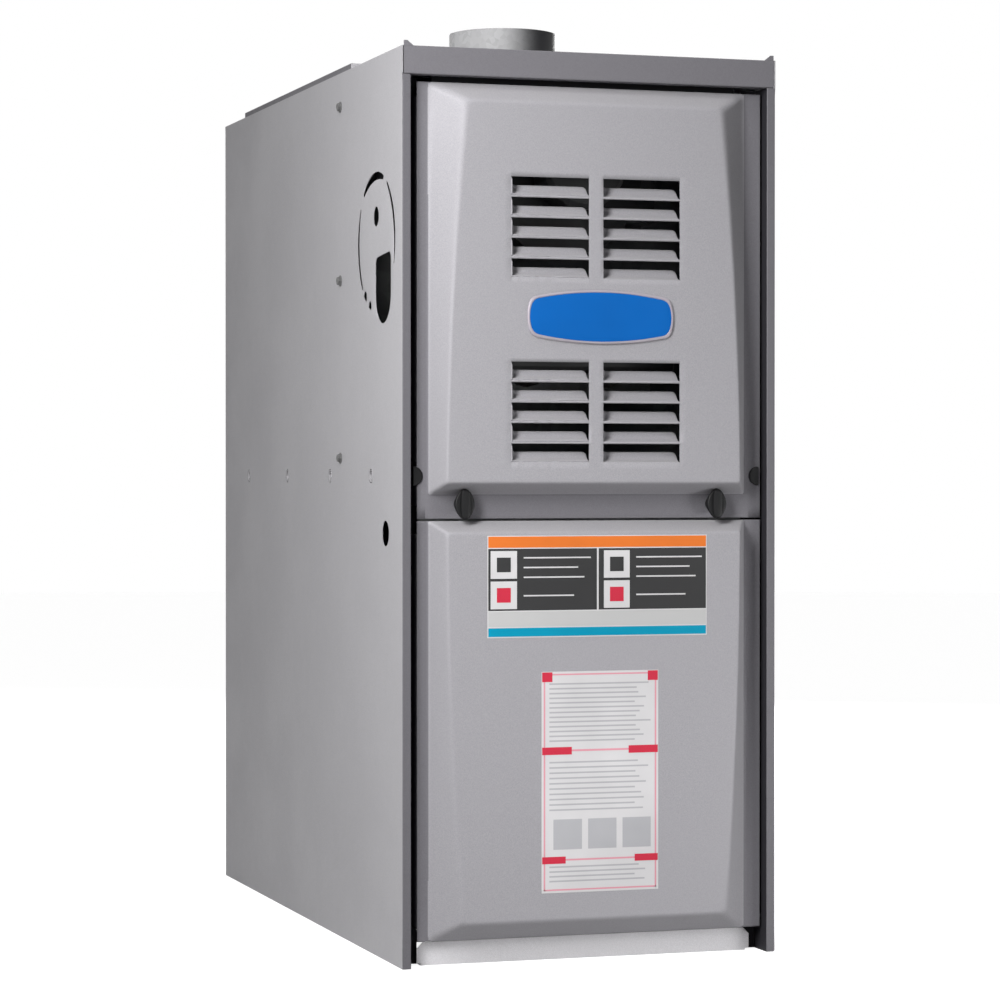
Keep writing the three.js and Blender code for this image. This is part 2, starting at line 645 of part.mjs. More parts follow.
// The raised pan as a solid, shrunk by a wall to make its hollow.
function pan({ panBottom, panTop, fieldBottom, fieldTop, arcRadius }, wall, feet) {
  const points = [];
  for (const z of [panBottom + wall, panTop - wall]) {
    for (const y of feet) {
      points.push([-PAN_EDGE + wall, y, z], [PAN_EDGE - wall, y, z]);
    }
  }
  for (const i of range(ARC_STEPS + 1)) {
    const z = lerp(fieldBottom + wall, fieldTop - wall, i / ARC_STEPS);
    const half = fieldHalfWidth(z, arcRadius) - wall;
    points.push([-half, FIELD_PLANE + wall, z], [half, FIELD_PLANE + wall, z]);
  }
  return hull(points);
}

function doorShell(door) {
  const plane = [FLANGE_PLANE, FLANGE_PLANE + SHEET];
  const returns = [FLANGE_PLANE, STOP - DOOR_STOP_GAP];
  const plate = block([-DOOR_EDGE, DOOR_EDGE], plane, [door.bottom, door.top]);
  const between = STOP_EDGE - 1;
  const ends = [
    block([-between, between], returns, [door.top - SHEET, door.top]),
    block([-between, between], returns, [door.bottom, door.bottom + SHEET]),
  ];
  const height = [door.bottom + CORNER_NOTCH, door.top - CORNER_NOTCH];
  const sides = [
    block([-DOOR_EDGE, -DOOR_EDGE + SHEET], returns, height),
    block([DOOR_EDGE - SHEET, DOOR_EDGE], returns, height),
  ];
  const half = DOOR_EDGE - TONGUE_INSET;
  const tongue = block([-half, half], [TONGUE_PLANE, TONGUE_PLANE + SHEET], door.tongue);
  const outer = pan(door, 0, [FLANGE_PLANE]);
  const hollow = pan(door, SHEET, [FLANGE_PLANE + SHEET, FLANGE_PLANE + 2 * SHEET]);
  return cut(join(plate, outer, ends, sides, tongue), hollow);
}

// A louvre pressed inwards from the field: its cup, grown by a wall for its outside.
function louvreCup(x, top, wall) {
  const bottom = top - LOUVRE_HEIGHT;
  const half = LOUVRE_WIDTH / 2 + wall;
  const front = wall > 0 ? FIELD_PLANE + SHEET / 2 : FIELD_PLANE - 1;
  const points = [];
  for (const side of [-1, 1]) {
    const end = x + side * half;
    points.push([end, front, bottom - wall], [end, front, top + wall]);
    points.push([end, FIELD_PLANE + SHEET, bottom - wall], [end, FIELD_PLANE + SHEET, top + wall]);
    for (const i of range(LOUVRE_CURVE_STEPS + 1)) {
      const angle = (i / LOUVRE_CURVE_STEPS) * (Math.PI / 2);
      const y = FIELD_PLANE + SHEET + (LOUVRE_DEPTH + wall) * Math.sin(angle);
      const z = bottom - wall + (LOUVRE_RISE + wall) * (1 - Math.cos(angle));
      points.push([end - side * LOUVRE_END, y, z]);
    }
  }
  return hull(points);
}

function louvreMouth(x, top) {
  const half = LOUVRE_WIDTH / 2 + 2 * SHEET;
  const depth = [FIELD_PLANE + SHEET, FIELD_PLANE + 3 * SHEET + LOUVRE_DEPTH];
  return block([x - half, x + half], depth, [top - LOUVRE_HEIGHT + LOUVRE_RISE, top + 2 * SHEET]);
}

function addLouvres(door) {
  const spots = LOUVRE_GROUP_SHARES.flatMap((share) => range(LOUVRE_ROWS).flatMap((row) => (
    range(LOUVRE_COLUMNS).map((column) => ({
      x: (column - (LOUVRE_COLUMNS - 1) / 2) * LOUVRE_COLUMN_PITCH,
      top: lerp(FIELD_TOP, FIELD_BOTTOM, share) - row * LOUVRE_PITCH,
    }))
  )));
  const cups = spots.map(({ x, top }) => (
    cut(louvreCup(x, top, SHEET), louvreCup(x, top, 0), louvreMouth(x, top))
  ));
  const holes = spots.map(({ x, top }) => louvreCup(x, top, 0));
  return join(cut(door, holes), cups);
}

function upperDoor() {
  const bottom = UPPER_DOOR_BOTTOM;
  const top = UPPER_DOOR_TOP;
  const shell = doorShell({
    bottom,
    top,
    panBottom: bottom + LEDGE_HEIGHT,
    panTop: top,
    fieldBottom: FIELD_BOTTOM,
    fieldTop: FIELD_TOP,
    arcRadius: UPPER_ARC_RADIUS,
    tongue: [top - SHEET, top + TONGUE_HEIGHT],
  });
  const ledge = [FLANGE_PLANE - 1, FLANGE_PLANE + 2 * SHEET];
  const shanks = [-1, 1].map((side) => bar('y', [side * KNOB_X, KNOB_Z], SHANK_RADIUS + FIT, ledge, 16));
  const notches = [-1, 1].map((side) => {
    const x = side * (DOOR_EDGE - FLANGE_HOLE_INSET);
    return bar('y', [x, bottom + LEDGE_HEIGHT + FLANGE_HOLE_HEIGHT], FLANGE_HOLE_RADIUS, ledge, 16);
  });
  return cut(addLouvres(shell), shanks, notches);
}

function lowerDoor() {
  const bottom = DOOR_BOTTOM;
  const top = LOWER_DOOR_TOP;
  return doorShell({
    bottom,
    top,
    panBottom: bottom,
    panTop: top,
    fieldBottom: bottom + END_BEVEL,
    fieldTop: top - SEAM_BEVEL,
    arcRadius: LOWER_ARC_RADIUS,
    tongue: [bottom - TONGUE_HEIGHT, bottom + SHEET],
  });
}

// Oval knob that spreads from its round foot, so that it turns clear of the bevel above the ledge.
function knob(side) {
  const x = side * KNOB_X;
  const face = FLANGE_PLANE - FIT;
  const oval = (width, length, y) => range(16).map((i) => {
    const angle = (i / 16) * 2 * Math.PI;
    return [x + (width / 2) * Math.cos(angle), y, KNOB_Z + (length / 2) * Math.sin(angle)];
  });
  const foot = 2 * KNOB_FOOT_RADIUS;
  const rim = face - KNOB_DEPTH + KNOB_RIM;
  const head = hull([
    ...oval(foot, foot, face),
    ...oval(foot, foot, face - 1),
    ...oval(KNOB_WIDTH, KNOB_LENGTH, rim),
    ...oval(KNOB_WIDTH * 0.72, KNOB_LENGTH * 0.86, face - KNOB_DEPTH),
  ]);
  const arm = FLANGE_PLANE + SHEET + LATCH_DEPTH + LATCH_ARM_THICKNESS;
  const shank = bar('y', [x, KNOB_Z], SHANK_RADIUS, [face - 1, arm + 1], 12);
  const grips = [-1, 1].map((across) => {
    const groove = [x + across * (KNOB_WING / 2), x + across * KNOB_WIDTH].sort((a, b) => a - b);
    return block(groove, [face - KNOB_DEPTH - 1, rim + 1], [KNOB_Z - KNOB_LENGTH, KNOB_Z + KNOB_LENGTH]);
  });
  return join(cut(head, grips), shank);
}

function latchArm(side) {
  const x = side * KNOB_X;
  const half = LATCH_ARM_WIDTH / 2;
  const start = FLANGE_PLANE + SHEET + LATCH_DEPTH;
  const outline = [...circle(x, KNOB_Z, half, 10, 180, 360), [x + half, KNOB_Z + LATCH_ARM_LENGTH],
    [x - half, KNOB_Z + LATCH_ARM_LENGTH]];
  const hole = circle(x, KNOB_Z, SHANK_RADIUS + FIT, 12);
  return prism('y', outline, [start, start + LATCH_ARM_THICKNESS], hole);
}

// Cross member behind the joint of the doors, with a catch in front of each turned latch arm.
function latchRail() {
  const section = folded([
    [STOP + LATCH_RAIL_DEPTH, DECK_UNDERSIDE - FIT],
    [STOP, DECK_UNDERSIDE - FIT],
    [STOP, LATCH_RAIL_BOTTOM],
    [STOP + LATCH_RAIL_DEPTH, LATCH_RAIL_BOTTOM],
  ]);
  const reach = STOP_EDGE - FIT;
  const channel = prism('x', section, [-reach, reach]);
  const catchFace = FLANGE_PLANE + SHEET + 2 * FIT;
  const catches = [-1, 1].map((side) => {
    const start = KNOB_X + CATCH_START;
    const path = [
      [start + CATCH_WIDTH, STOP + SHEET],
      [start + CATCH_WIDTH, catchFace],
      [start, catchFace],
    ];
    const outline = folded(path, -SHEET).map(([x, y]) => [side * x, y]);
    return prism('z', outline, [KNOB_Z - CATCH_HEIGHT / 2, KNOB_Z + CATCH_HEIGHT / 2]);
  });
  return join(channel, catches);
}

// ---------------------------------------------------------------- Inner panels

function blowerDeck() {
  const front = FRONT + DECK_START;
  const plate = block([-INSIDE, INSIDE], [front, LINER_BACK], [DECK_UNDERSIDE, DECK_HEIGHT]);
  const sides = [-1, 1].map((side) => {
    const across = [side * INSIDE, side * (INSIDE - SHEET)].sort((a, b) => a - b);
    return block(across, [front + SHEET, LINER_BACK], [DECK_HEIGHT - PANEL_FLANGE, DECK_HEIGHT]);
  });
  const half = BLOWER_WIDTH / 2;
  const cutoff = SCROLL_START_RADIUS * Math.sin(degrees(SCROLL_CUTOFF));
  const outlet = block([-half, half], [BLOWER_Y + cutoff, BLOWER_Y + SCROLL_END_RADIUS],
    [DECK_UNDERSIDE - 1, DECK_HEIGHT + 1]);
  return cut(join(plate, sides), outlet);
}

const tubeX = (index) => (index - (TUBE_COUNT - 1) / 2) * TUBE_PITCH;

function vestibulePanel() {
  const bottom = DECK_HEIGHT + FIT;
  const top = TOP_PLATE - SHEET - FIT;
  const section = folded([
    [INSIDE, VESTIBULE - PANEL_FLANGE],
    [INSIDE, VESTIBULE + SHEET],
    [-INSIDE, VESTIBULE + SHEET],
    [-INSIDE, VESTIBULE - PANEL_FLANGE],
  ]);
  const panel = prism('z', section, [bottom, top]);
  const lip = block([-INSIDE + 2 * PANEL_FLANGE, INSIDE - 2 * PANEL_FLANGE],
    [VESTIBULE - PANEL_FLANGE, VESTIBULE + SHEET], [top - SHEET, top]);
  const wall = [VESTIBULE - 1, VESTIBULE + 2 * SHEET];
  const tubes = range(TUBE_COUNT).flatMap((i) => [BURNER_HEIGHT, TOP_PASS].map((z) => (
    bar('y', [tubeX(i), z], TUBE_RADIUS + FIT, wall, 16)
  )));
  const probe = bar('y', [-TUBE_PITCH / 2, LIMIT_SWITCH_HEIGHT], PROBE_RADIUS + FIT, wall, 8);
  return cut(join(panel, lip), tubes, probe);
}

function liner(side) {
  const across = [side * INSIDE, side * (INSIDE - INSULATION)].sort((a, b) => a - b);
  const depth = [VESTIBULE + SHEET + FIT, LINER_BACK];
  return block(across, depth, [DECK_HEIGHT + FIT, CABINET_HEIGHT - PANEL_FLANGE - FIT]);
}

function backLiner() {
  const reach = INSIDE - INSULATION - FIT;
  return block([-reach, reach], [LINER_BACK - INSULATION, LINER_BACK],
    [DECK_HEIGHT + FIT, CABINET_HEIGHT - PANEL_FLANGE - FIT]);
}

// ---------------------------------------------------------------- Heat exchanger

// One serpentine: passes joined by half-round bends, at the rear and the front by turns.
function exchangerTube(index) {
  const x = tubeX(index);
  const rear = VESTIBULE + TUBE_REACH;
  const near = VESTIBULE + TUBE_FRONT_BEND;
  const stations = [new THREE.Vector3(x, VESTIBULE - TUBE_LIP, BURNER_HEIGHT)];
  for (const pass of range(TUBE_PASSES - 1)) {
    const atRear = pass % 2 === 0;
    const middle = BURNER_HEIGHT + (pass + 0.5) * PASS_PITCH;
    for (const step of range(BEND_STEPS + 1)) {
      const angle = Math.PI * (step / BEND_STEPS - 0.5);
      const reach = (PASS_PITCH / 2) * Math.cos(angle);
      const y = atRear ? rear + reach : near - reach;
      stations.push(new THREE.Vector3(x, y, middle + (PASS_PITCH / 2) * Math.sin(angle)));
    }
  }
  stations.push(new THREE.Vector3(x, VESTIBULE - TUBE_LIP, TOP_PASS));
  return tube(stations, TUBE_RADIUS, TUBE_RADIUS - TUBE_WALL, TUBE_SIDES);
}

function collectorBox() {
  const half = COLLECTOR_WIDTH / 2;
  const rise = COLLECTOR_HEIGHT / 2;
  const back = VESTIBULE - FIT;
  const outer = block([-half, half], [COLLECTOR_FRONT, back], [TOP_PASS - rise, TOP_PASS + rise]);
  const rim = block([-half - COLLECTOR_RIM, half + COLLECTOR_RIM], [back - SHEET, back],
    [TOP_PASS - rise - COLLECTOR_RIM, TOP_PASS + rise + COLLECTOR_RIM]);
  const inner = block([-half + SHEET, half - SHEET], [COLLECTOR_FRONT + SHEET, back + 1],
    [TOP_PASS - rise + SHEET, TOP_PASS + rise - SHEET]);
  const inlet = bar('y', [INDUCER_X, TOP_PASS], INDUCER_INLET_RADIUS, [COLLECTOR_FRONT - 1, COLLECTOR_FRONT + 3]);
  return cut(join(outer, rim), inner, inlet);
}

// ---------------------------------------------------------------- Draft inducer

// Scroll seen from the front, with its outlet upwards on the left, shrunk by a wall for its inside.
function inducerOutline(wall) {
  const left = INDUCER_X - INDUCER_END_RADIUS + wall;
  const neck = FLUE_X + INDUCER_OUTLET_WIDTH / 2 - wall;
  const top = TOP_PASS + INDUCER_OUTLET_RISE - wall;
  const start = INDUCER_START_RADIUS - wall;
  const cutoff = Math.acos((neck - INDUCER_X) / start);
  const turns = cutoff + Math.PI;
  const spiral = range(16).map((i) => {
    const share = i / 15;
    const angle = cutoff - share * turns;
    const radius = lerp(start, INDUCER_END_RADIUS - wall, share);
    return [INDUCER_X + radius * Math.cos(angle), TOP_PASS + radius * Math.sin(angle)];
  });
  return [[neck, top], ...spiral, [left, top]];
}

function inducerHousing() {
  const outer = prism('y', inducerOutline(0), [INDUCER_FRONT, INDUCER_BACK]);
  const inner = prism('y', inducerOutline(INDUCER_WALL), [INDUCER_FRONT + INDUCER_WALL, INDUCER_BACK - INDUCER_WALL]);
  const inlet = bar('y', [INDUCER_X, TOP_PASS], INDUCER_INLET_RADIUS,
    [INDUCER_BACK - 2 * INDUCER_WALL, INDUCER_BACK + 1]);
  const shaft = bar('y', [INDUCER_X, TOP_PASS], INDUCER_SHAFT_RADIUS + 1,
    [INDUCER_FRONT - 1, INDUCER_FRONT + 2 * INDUCER_WALL], 12);
  const top = TOP_PASS + INDUCER_OUTLET_RISE;
  const outlet = bar('z', [FLUE_X, FLUE_Y], ADAPTER_INLET_RADIUS - INDUCER_WALL * 2, [top - 5, top + 1]);
  return cut(outer, inner, inlet, shaft, outlet);
}

function inducerWheel() {
  const front = INDUCER_FRONT + INDUCER_WALL + 6;
  const back = front + INDUCER_WHEEL_DEPTH;
  const disc = bar('y', [INDUCER_X, TOP_PASS], INDUCER_WHEEL_RADIUS, [front, front + 2]);
  const hub = bar('y', [INDUCER_X, TOP_PASS], 2 * INDUCER_SHAFT_RADIUS, [front, front + INDUCER_WHEEL_DEPTH * 0.7], 16);
  const shaft = bar('y', [INDUCER_X, TOP_PASS], INDUCER_SHAFT_RADIUS, [INDUCER_FRONT - 12, front + 1], 12);
  const blades = range(INDUCER_BLADES).map((i) => {
    const angle = (i / INDUCER_BLADES) * 2 * Math.PI;
    const blade = new THREE.BoxGeometry(INDUCER_WHEEL_RADIUS - 20, back - front - 1, 1.5);
    blade.translate((INDUCER_WHEEL_RADIUS + 20) / 2 - 0.5, (front + back + 1) / 2, 0);
    return solid(blade.rotateY(angle).translate(INDUCER_X, 0, TOP_PASS));
  });
  return join(disc, hub, shaft, blades);
}

// A motor can with stepped end bells and a blind hole for its shaft at one end.
function motor(axis, centre, radius, length, shaftRadius, shaftEnd) {
  const profile = [
    [0, 0],
    [radius * 0.35, 0],
    [radius * 0.35, length * 0.06],
    [radius * 0.88, length * 0.1],
    [radius, length * 0.2],
    [radius, length * 0.8],
    [radius * 0.88, length * 0.9],
    [radius * 0.35, length * 0.94],
    [radius * 0.35, length],
    [0, length],
  ];
  const depth = length * 0.3;
  const bore = shaftEnd === 'far' ? [length - depth, length + 1] : [-1, depth];
  const hole = [[0, bore[0]], [shaftRadius + FIT, bore[0]], [shaftRadius + FIT, bore[1]], [0, bore[1]]];
  return cut(turned(axis, profile, centre, 16), turned(axis, hole, centre, 12));
}

function inducerMotor() {
  const centre = [INDUCER_X, INDUCER_FRONT - FIT - INDUCER_MOTOR_LENGTH, TOP_PASS];
  return motor('y', centre, INDUCER_MOTOR_RADIUS, INDUCER_MOTOR_LENGTH, INDUCER_SHAFT_RADIUS, 'far');
}

function ventAdapter() {
  const seat = TOP_PASS + INDUCER_OUTLET_RISE + FIT;
  const outlet = FLUE_RADIUS - SHEET - FIT;
  const shoulder = TOP_PLATE - SHEET;
  const top = TOP_PLATE + ADAPTER_LAP;
  const profile = [
    [ADAPTER_INLET_RADIUS - SHEET, seat],
    [ADAPTER_INLET_RADIUS + ADAPTER_RIM, seat],
    [ADAPTER_INLET_RADIUS + ADAPTER_RIM, seat + SHEET],
    [ADAPTER_INLET_RADIUS, seat + SHEET],
    [outlet, shoulder],
    [outlet, top],
    [outlet - SHEET, top],
    [outlet - SHEET, shoulder],
  ];
  return turned('z', profile, [FLUE_X, FLUE_Y, 0], 20);
}

// ---------------------------------------------------------------- Burners and gas train

function burnerRack() {
  const half = RACK_WIDTH / 2;
  const height = [BURNER_HEIGHT - RACK_HEIGHT / 2, BURNER_HEIGHT + RACK_HEIGHT / 2];
  const back = VESTIBULE - FIT;
  const section = folded([
    [half, back],
    [half, RACK_FRONT],
    [-half, RACK_FRONT],
    [-half, back],
  ], -SHEET);
  const rack = prism('z', section, height);
  const mouth = BURNER_MOUTH_RADIUS + 3 + FIT;
  const wall = [RACK_FRONT - 1, RACK_FRONT + 3];
  const holes = range(TUBE_COUNT).map((i) => bar('y', [tubeX(i), BURNER_HEIGHT], mouth, wall, 12));
  const rods = [-1, 1].map((side) => (
    bar('y', [(side * TUBE_PITCH) / 2, BURNER_HEIGHT + 20], PROBE_RADIUS, wall, 8)
  ));
  const arms = [-1, 1].map((side) => {
    const across = [side * half, side * (half - SHEET)].sort((a, b) => a - b);
    const reach = [GAS_LINE_Y + MANIFOLD_RADIUS + FIT, RACK_FRONT + 1];
    return block(across, reach, [BURNER_HEIGHT - 11, BURNER_HEIGHT + 11]);
  });
  return join(cut(rack, holes, rods), arms);
}

// In-shot burner: bell mouth, throat and flared flame ring.
function burner(index) {
  const outer = [
    [BURNER_MOUTH_RADIUS + 3, BURNER_BACK],
    [BURNER_MOUTH_RADIUS + 3, BURNER_BACK - 12],
    [BURNER_THROAT_RADIUS + 3, BURNER_BACK - 30],
    [BURNER_THROAT_RADIUS, BURNER_BACK - 62],
    [BURNER_THROAT_RADIUS, BURNER_FRONT + 22],
    [BURNER_MOUTH_RADIUS, BURNER_FRONT],
  ];
  const inner = outer.map(([radius, y]) => [radius - SHEET, y]).reverse();
  return turned('y', [...outer, ...inner], [tubeX(index), 0, BURNER_HEIGHT], 12);
}

function manifold() {
  const end = tubeX(TUBE_COUNT - 1) + MANIFOLD_END;
  const pipe = bar('x', [GAS_LINE_Y, BURNER_HEIGHT], MANIFOLD_RADIUS, [VALVE_X - MANIFOLD_RADIUS, end], 16);
  const cap = bar('x', [GAS_LINE_Y, BURNER_HEIGHT], MANIFOLD_RADIUS + MANIFOLD_CAP_WALL,
    [end - MANIFOLD_CAP_LENGTH, end + MANIFOLD_CAP_WALL], 8);
  const valveBottom = GAS_LINE_HEIGHT - VALVE_HEIGHT / 2;
  const riser = bar('z', [VALVE_X, GAS_LINE_Y], MANIFOLD_RADIUS - FIT, [BURNER_HEIGHT, valveBottom - FIT], 16);
  const orifices = range(TUBE_COUNT).map((i) => (
    bar('y', [tubeX(i), BURNER_HEIGHT], ORIFICE_RADIUS, [GAS_LINE_Y, GAS_LINE_Y + MANIFOLD_RADIUS + ORIFICE_REACH], 8)
  ));
  return join(pipe, cap, riser, orifices);
}

function gasValve() {
  const x = [VALVE_X - VALVE_WIDTH / 2, VALVE_X + VALVE_WIDTH / 2];
  const z = [GAS_LINE_HEIGHT - VALVE_HEIGHT / 2, GAS_LINE_HEIGHT + VALVE_HEIGHT / 2];
  const y = [GAS_LINE_Y - VALVE_DEPTH / 2, GAS_LINE_Y + VALVE_DEPTH / 2];
  const bevel = 6;
  const body = prism('z', [
    [x[0] + bevel, y[0]], [x[1] - bevel, y[0]], [x[1], y[0] + bevel], [x[1], y[1] - bevel],
    [x[1] - bevel, y[1]], [x[0] + bevel, y[1]], [x[0], y[1] - bevel], [x[0], y[0] + bevel],
  ], [z[0], z[1] - 14]);
  const head = block([x[0] + 8, x[1] - 8], [y[0] + 8, y[1] - 8], [z[1] - 16, z[1]]);
  const port = bar('x', [GAS_LINE_Y, GAS_LINE_HEIGHT], VALVE_PORT_RADIUS, [x[0] - VALVE_PORT_LENGTH, x[0] + 4], 8);
  const bore = bar('x', [GAS_LINE_Y, GAS_LINE_HEIGHT], VALVE_PORT_RADIUS - 4, [x[0] - VALVE_PORT_LENGTH - 1, x[0]], 12);
  const regulator = bar('y', [x[1] - 18, z[0] + 30], 10, [y[0] - 10, y[0] + 2], 12);
  const solenoid = bar('y', [x[0] + 20, z[0] + 48], 13, [y[0] - 7, y[0] + 2], 12);
  return join(cut(join(body, port), bore), head, regulator, solenoid);
}

function gasCock() {
  const top = GAS_LINE_HEIGHT + VALVE_HEIGHT / 2 + FIT;
  const skirt = bar('z', [VALVE_X, GAS_LINE_Y], COCK_RADIUS, [top, top + COCK_HEIGHT * 0.45], 16);
  const grip = block([VALVE_X - 3, VALVE_X + 3], [GAS_LINE_Y - COCK_RADIUS + 1, GAS_LINE_Y + COCK_RADIUS - 1],
    [top + 1, top + COCK_HEIGHT]);
  return join(skirt, grip);
}

// A ceramic block on the burner rack with a rod through it towards the flame.
function flameRod(side, blockLength) {
  const x = (side * TUBE_PITCH) / 2;
  const z = BURNER_HEIGHT + 20;
  const front = RACK_FRONT - FIT;
  const ceramic = block([x - 6, x + 6], [front - blockLength, front], [z - 5, z + 5]);
  const rod = bar('y', [x, z], PROBE_RADIUS - FIT, [front - 1, VESTIBULE - 4], 8);
  return join(ceramic, rod);
}

// ---------------------------------------------------------------- Switches

function limitSwitch() {
  const x = -TUBE_PITCH / 2;
  const face = VESTIBULE - FIT;
  const flange = block([x - 20, x + 20], [face - SHEET, face], [LIMIT_SWITCH_HEIGHT - 9, LIMIT_SWITCH_HEIGHT + 9]);
  const body = bar('y', [x, LIMIT_SWITCH_HEIGHT], SWITCH_RADIUS, [face - SWITCH_DEPTH, face], 16);
  const probe = bar('y', [x, LIMIT_SWITCH_HEIGHT], PROBE_RADIUS, [face - 1, face + PROBE_LENGTH], 8);
  return join(flange, body, probe);
}

function rolloutSwitch() {
  const x = TUBE_PITCH / 2;
  const face = VESTIBULE - FIT;
  const flange = block([x - 20, x + 20], [face - SHEET, face], [ROLLOUT_SWITCH_HEIGHT - 9, ROLLOUT_SWITCH_HEIGHT + 9]);
  const body = bar('y', [x, ROLLOUT_SWITCH_HEIGHT], SWITCH_RADIUS, [face - SWITCH_DEPTH, face], 16);
  const bore = bar('y', [x, ROLLOUT_SWITCH_HEIGHT], RESET_RADIUS + FIT, [face - SWITCH_DEPTH - 1, face - 4], 10);
  return cut(join(flange, body), bore);
}

function resetButton() {
  const front = VESTIBULE - FIT - SWITCH_DEPTH;
  return bar('y', [TUBE_PITCH / 2, ROLLOUT_SWITCH_HEIGHT], RESET_RADIUS,
    [front - 2 * RESET_TRAVEL, front + SWITCH_DEPTH - 4 - RESET_TRAVEL - FIT], 10);
}

function pressureSwitch() {
  const y = FRONT + PRESSURE_FROM_FRONT;
  const profile = [
    [0, 0],
    [PRESSURE_RADIUS * 0.55, 0],
    [PRESSURE_RADIUS * 0.6, PRESSURE_THICKNESS * 0.3],
    [PRESSURE_RADIUS, PRESSURE_THICKNESS * 0.42],
    [PRESSURE_RADIUS, PRESSURE_THICKNESS * 0.58],
    [PRESSURE_RADIUS * 0.6, PRESSURE_THICKNESS * 0.75],
    [PRESSURE_RADIUS * 0.5, PRESSURE_THICKNESS],
    [0, PRESSURE_THICKNESS],
  ];
  const body = turned('x', profile, [-INSIDE, y, PRESSURE_HEIGHT], 14);
  const barb = bar('x', [y, PRESSURE_HEIGHT], HOSE_RADIUS, [-INSIDE + 10, -INSIDE + PRESSURE_THICKNESS + 8], 8);
  return join(body, barb);
}

function pressureHose() {
  const y = FRONT + PRESSURE_FROM_FRONT;
  const start = -INSIDE + PRESSURE_THICKNESS + 8 + FIT;
  const end = INDUCER_X - INDUCER_END_RADIUS - FIT;
  const tap = TOP_PASS + INDUCER_OUTLET_RISE * 0.4;
  const route = new THREE.CatmullRomCurve3([
    new THREE.Vector3(start, y, PRESSURE_HEIGHT),
    new THREE.Vector3(start + 6, y, PRESSURE_HEIGHT),
    new THREE.Vector3(lerp(start, end, 0.4), y - 6, PRESSURE_HEIGHT - 18),
    new THREE.Vector3(end - 6, FLUE_Y, tap),
    new THREE.Vector3(end, FLUE_Y, tap),
  ]);
  return tube(route.getSpacedPoints(12), HOSE_RADIUS, 0, 6);
}

// ---------------------------------------------------------------- Blower

// Outer face of the scroll, from the deck down to the cutoff, round the wheel and up to the deck.
function scrollPath(grow) {
  const top = DECK_UNDERSIDE - FIT;
  const spiral = range(SCROLL_STEPS + 1).map((i) => {
    const share = i / SCROLL_STEPS;
    const angle = degrees(lerp(-SCROLL_CUTOFF, 270, share));
    const radius = lerp(SCROLL_START_RADIUS, SCROLL_END_RADIUS, share) + grow;
    return [BLOWER_Y - radius * Math.sin(angle), BLOWER_HEIGHT + radius * Math.cos(angle)];
  });
  const start = [BLOWER_Y + (SCROLL_START_RADIUS + grow) * Math.sin(degrees(SCROLL_CUTOFF)), top];
  return [start, ...spiral, [BLOWER_Y + SCROLL_END_RADIUS + grow, top]];
}

function blowerScroll() {
  const reach = BLOWER_WIDTH / 2 - SHEET - FIT;
  return prism('x', folded(scrollPath(0)), [-reach, reach]);
}

function blowerSide(side) {
  const outer = side * (BLOWER_WIDTH / 2);
  const inner = side * (BLOWER_WIDTH / 2 - SHEET);
  const across = [outer, inner].sort((a, b) => a - b);
  const hole = circle(BLOWER_Y, BLOWER_HEIGHT, INLET_RADIUS, 20);
  const outline = scrollPath(SIDE_PLATE_LAP);
  const plate = prism('x', outline, across, hole);
  const profile = [
    [INLET_RADIUS + 2, outer],
    [INLET_RADIUS - SHEET, outer],
    [INLET_THROAT_RADIUS, inner - side * INLET_DEPTH * 0.5],
    [INLET_THROAT_RADIUS, inner - side * INLET_DEPTH],
    [INLET_THROAT_RADIUS + SHEET, inner - side * INLET_DEPTH],
    [INLET_THROAT_RADIUS + SHEET, inner - side * INLET_DEPTH * 0.5],
    [INLET_RADIUS + 2, inner],
  ];
  const ring = turned('x', profile, [0, BLOWER_Y, BLOWER_HEIGHT], 20);
  const top = DECK_UNDERSIDE - FIT;
  const flangeSpan = [outline[0][0], BLOWER_Y + SCROLL_END_RADIUS];
  const flange = block([inner, outer + side * PANEL_FLANGE].sort((a, b) => a - b), flangeSpan, [top - SHEET, top]);
  return join(plate, ring, flange);
}

// Forward-curved blade in section, as a strip between the wheel's inner and outer radius.
function bladeSection(angle) {
  const edge = range(BLADE_STEPS + 1).map((i) => {
    const share = i / BLADE_STEPS;
    const radius = lerp(WHEEL_INNER_RADIUS, WHEEL_RADIUS - 2, share);
    const lean = angle + degrees(BLADE_SWEEP) * share ** 2;
    return [BLOWER_Y + radius * Math.cos(lean), BLOWER_HEIGHT + radius * Math.sin(lean)];
  });
  return folded(edge, BLADE_THICKNESS);
}

function blowerWheel() {
  const half = WHEEL_LENGTH / 2;
  const axis = [BLOWER_Y, BLOWER_HEIGHT];
  const blades = range(BLADE_COUNT).map((i) => (
    prism('x', bladeSection((i / BLADE_COUNT) * 2 * Math.PI), [-half + 1, half - 1])
  ));
  const rings = [-1, 1].map((side) => {
    const across = [side * half, side * (half - WHEEL_RING)].sort((a, b) => a - b);
    const hole = circle(...axis, WHEEL_INNER_RADIUS - 2, 30);
    return prism('x', circle(...axis, WHEEL_RADIUS, 36), across, hole);
  });
  const disc = bar('x', axis, WHEEL_RADIUS, [-WHEEL_DISC / 2, WHEEL_DISC / 2], 36);
  const hub = bar('x', axis, HUB_RADIUS, [-HUB_LENGTH / 2, HUB_LENGTH / 2], 16);
  const shaft = bar('x', axis, BLOWER_SHAFT_RADIUS, [-HUB_LENGTH / 2 - 6, BLOWER_MOTOR_START + 18], 12);
  return join(disc, hub, shaft, rings, blades);
}

function blowerMotor() {
  const centre = [BLOWER_MOTOR_START, BLOWER_Y, BLOWER_HEIGHT];
  return motor('x', centre, BLOWER_MOTOR_RADIUS, BLOWER_MOTOR_LENGTH, BLOWER_SHAFT_RADIUS, 'near');
}

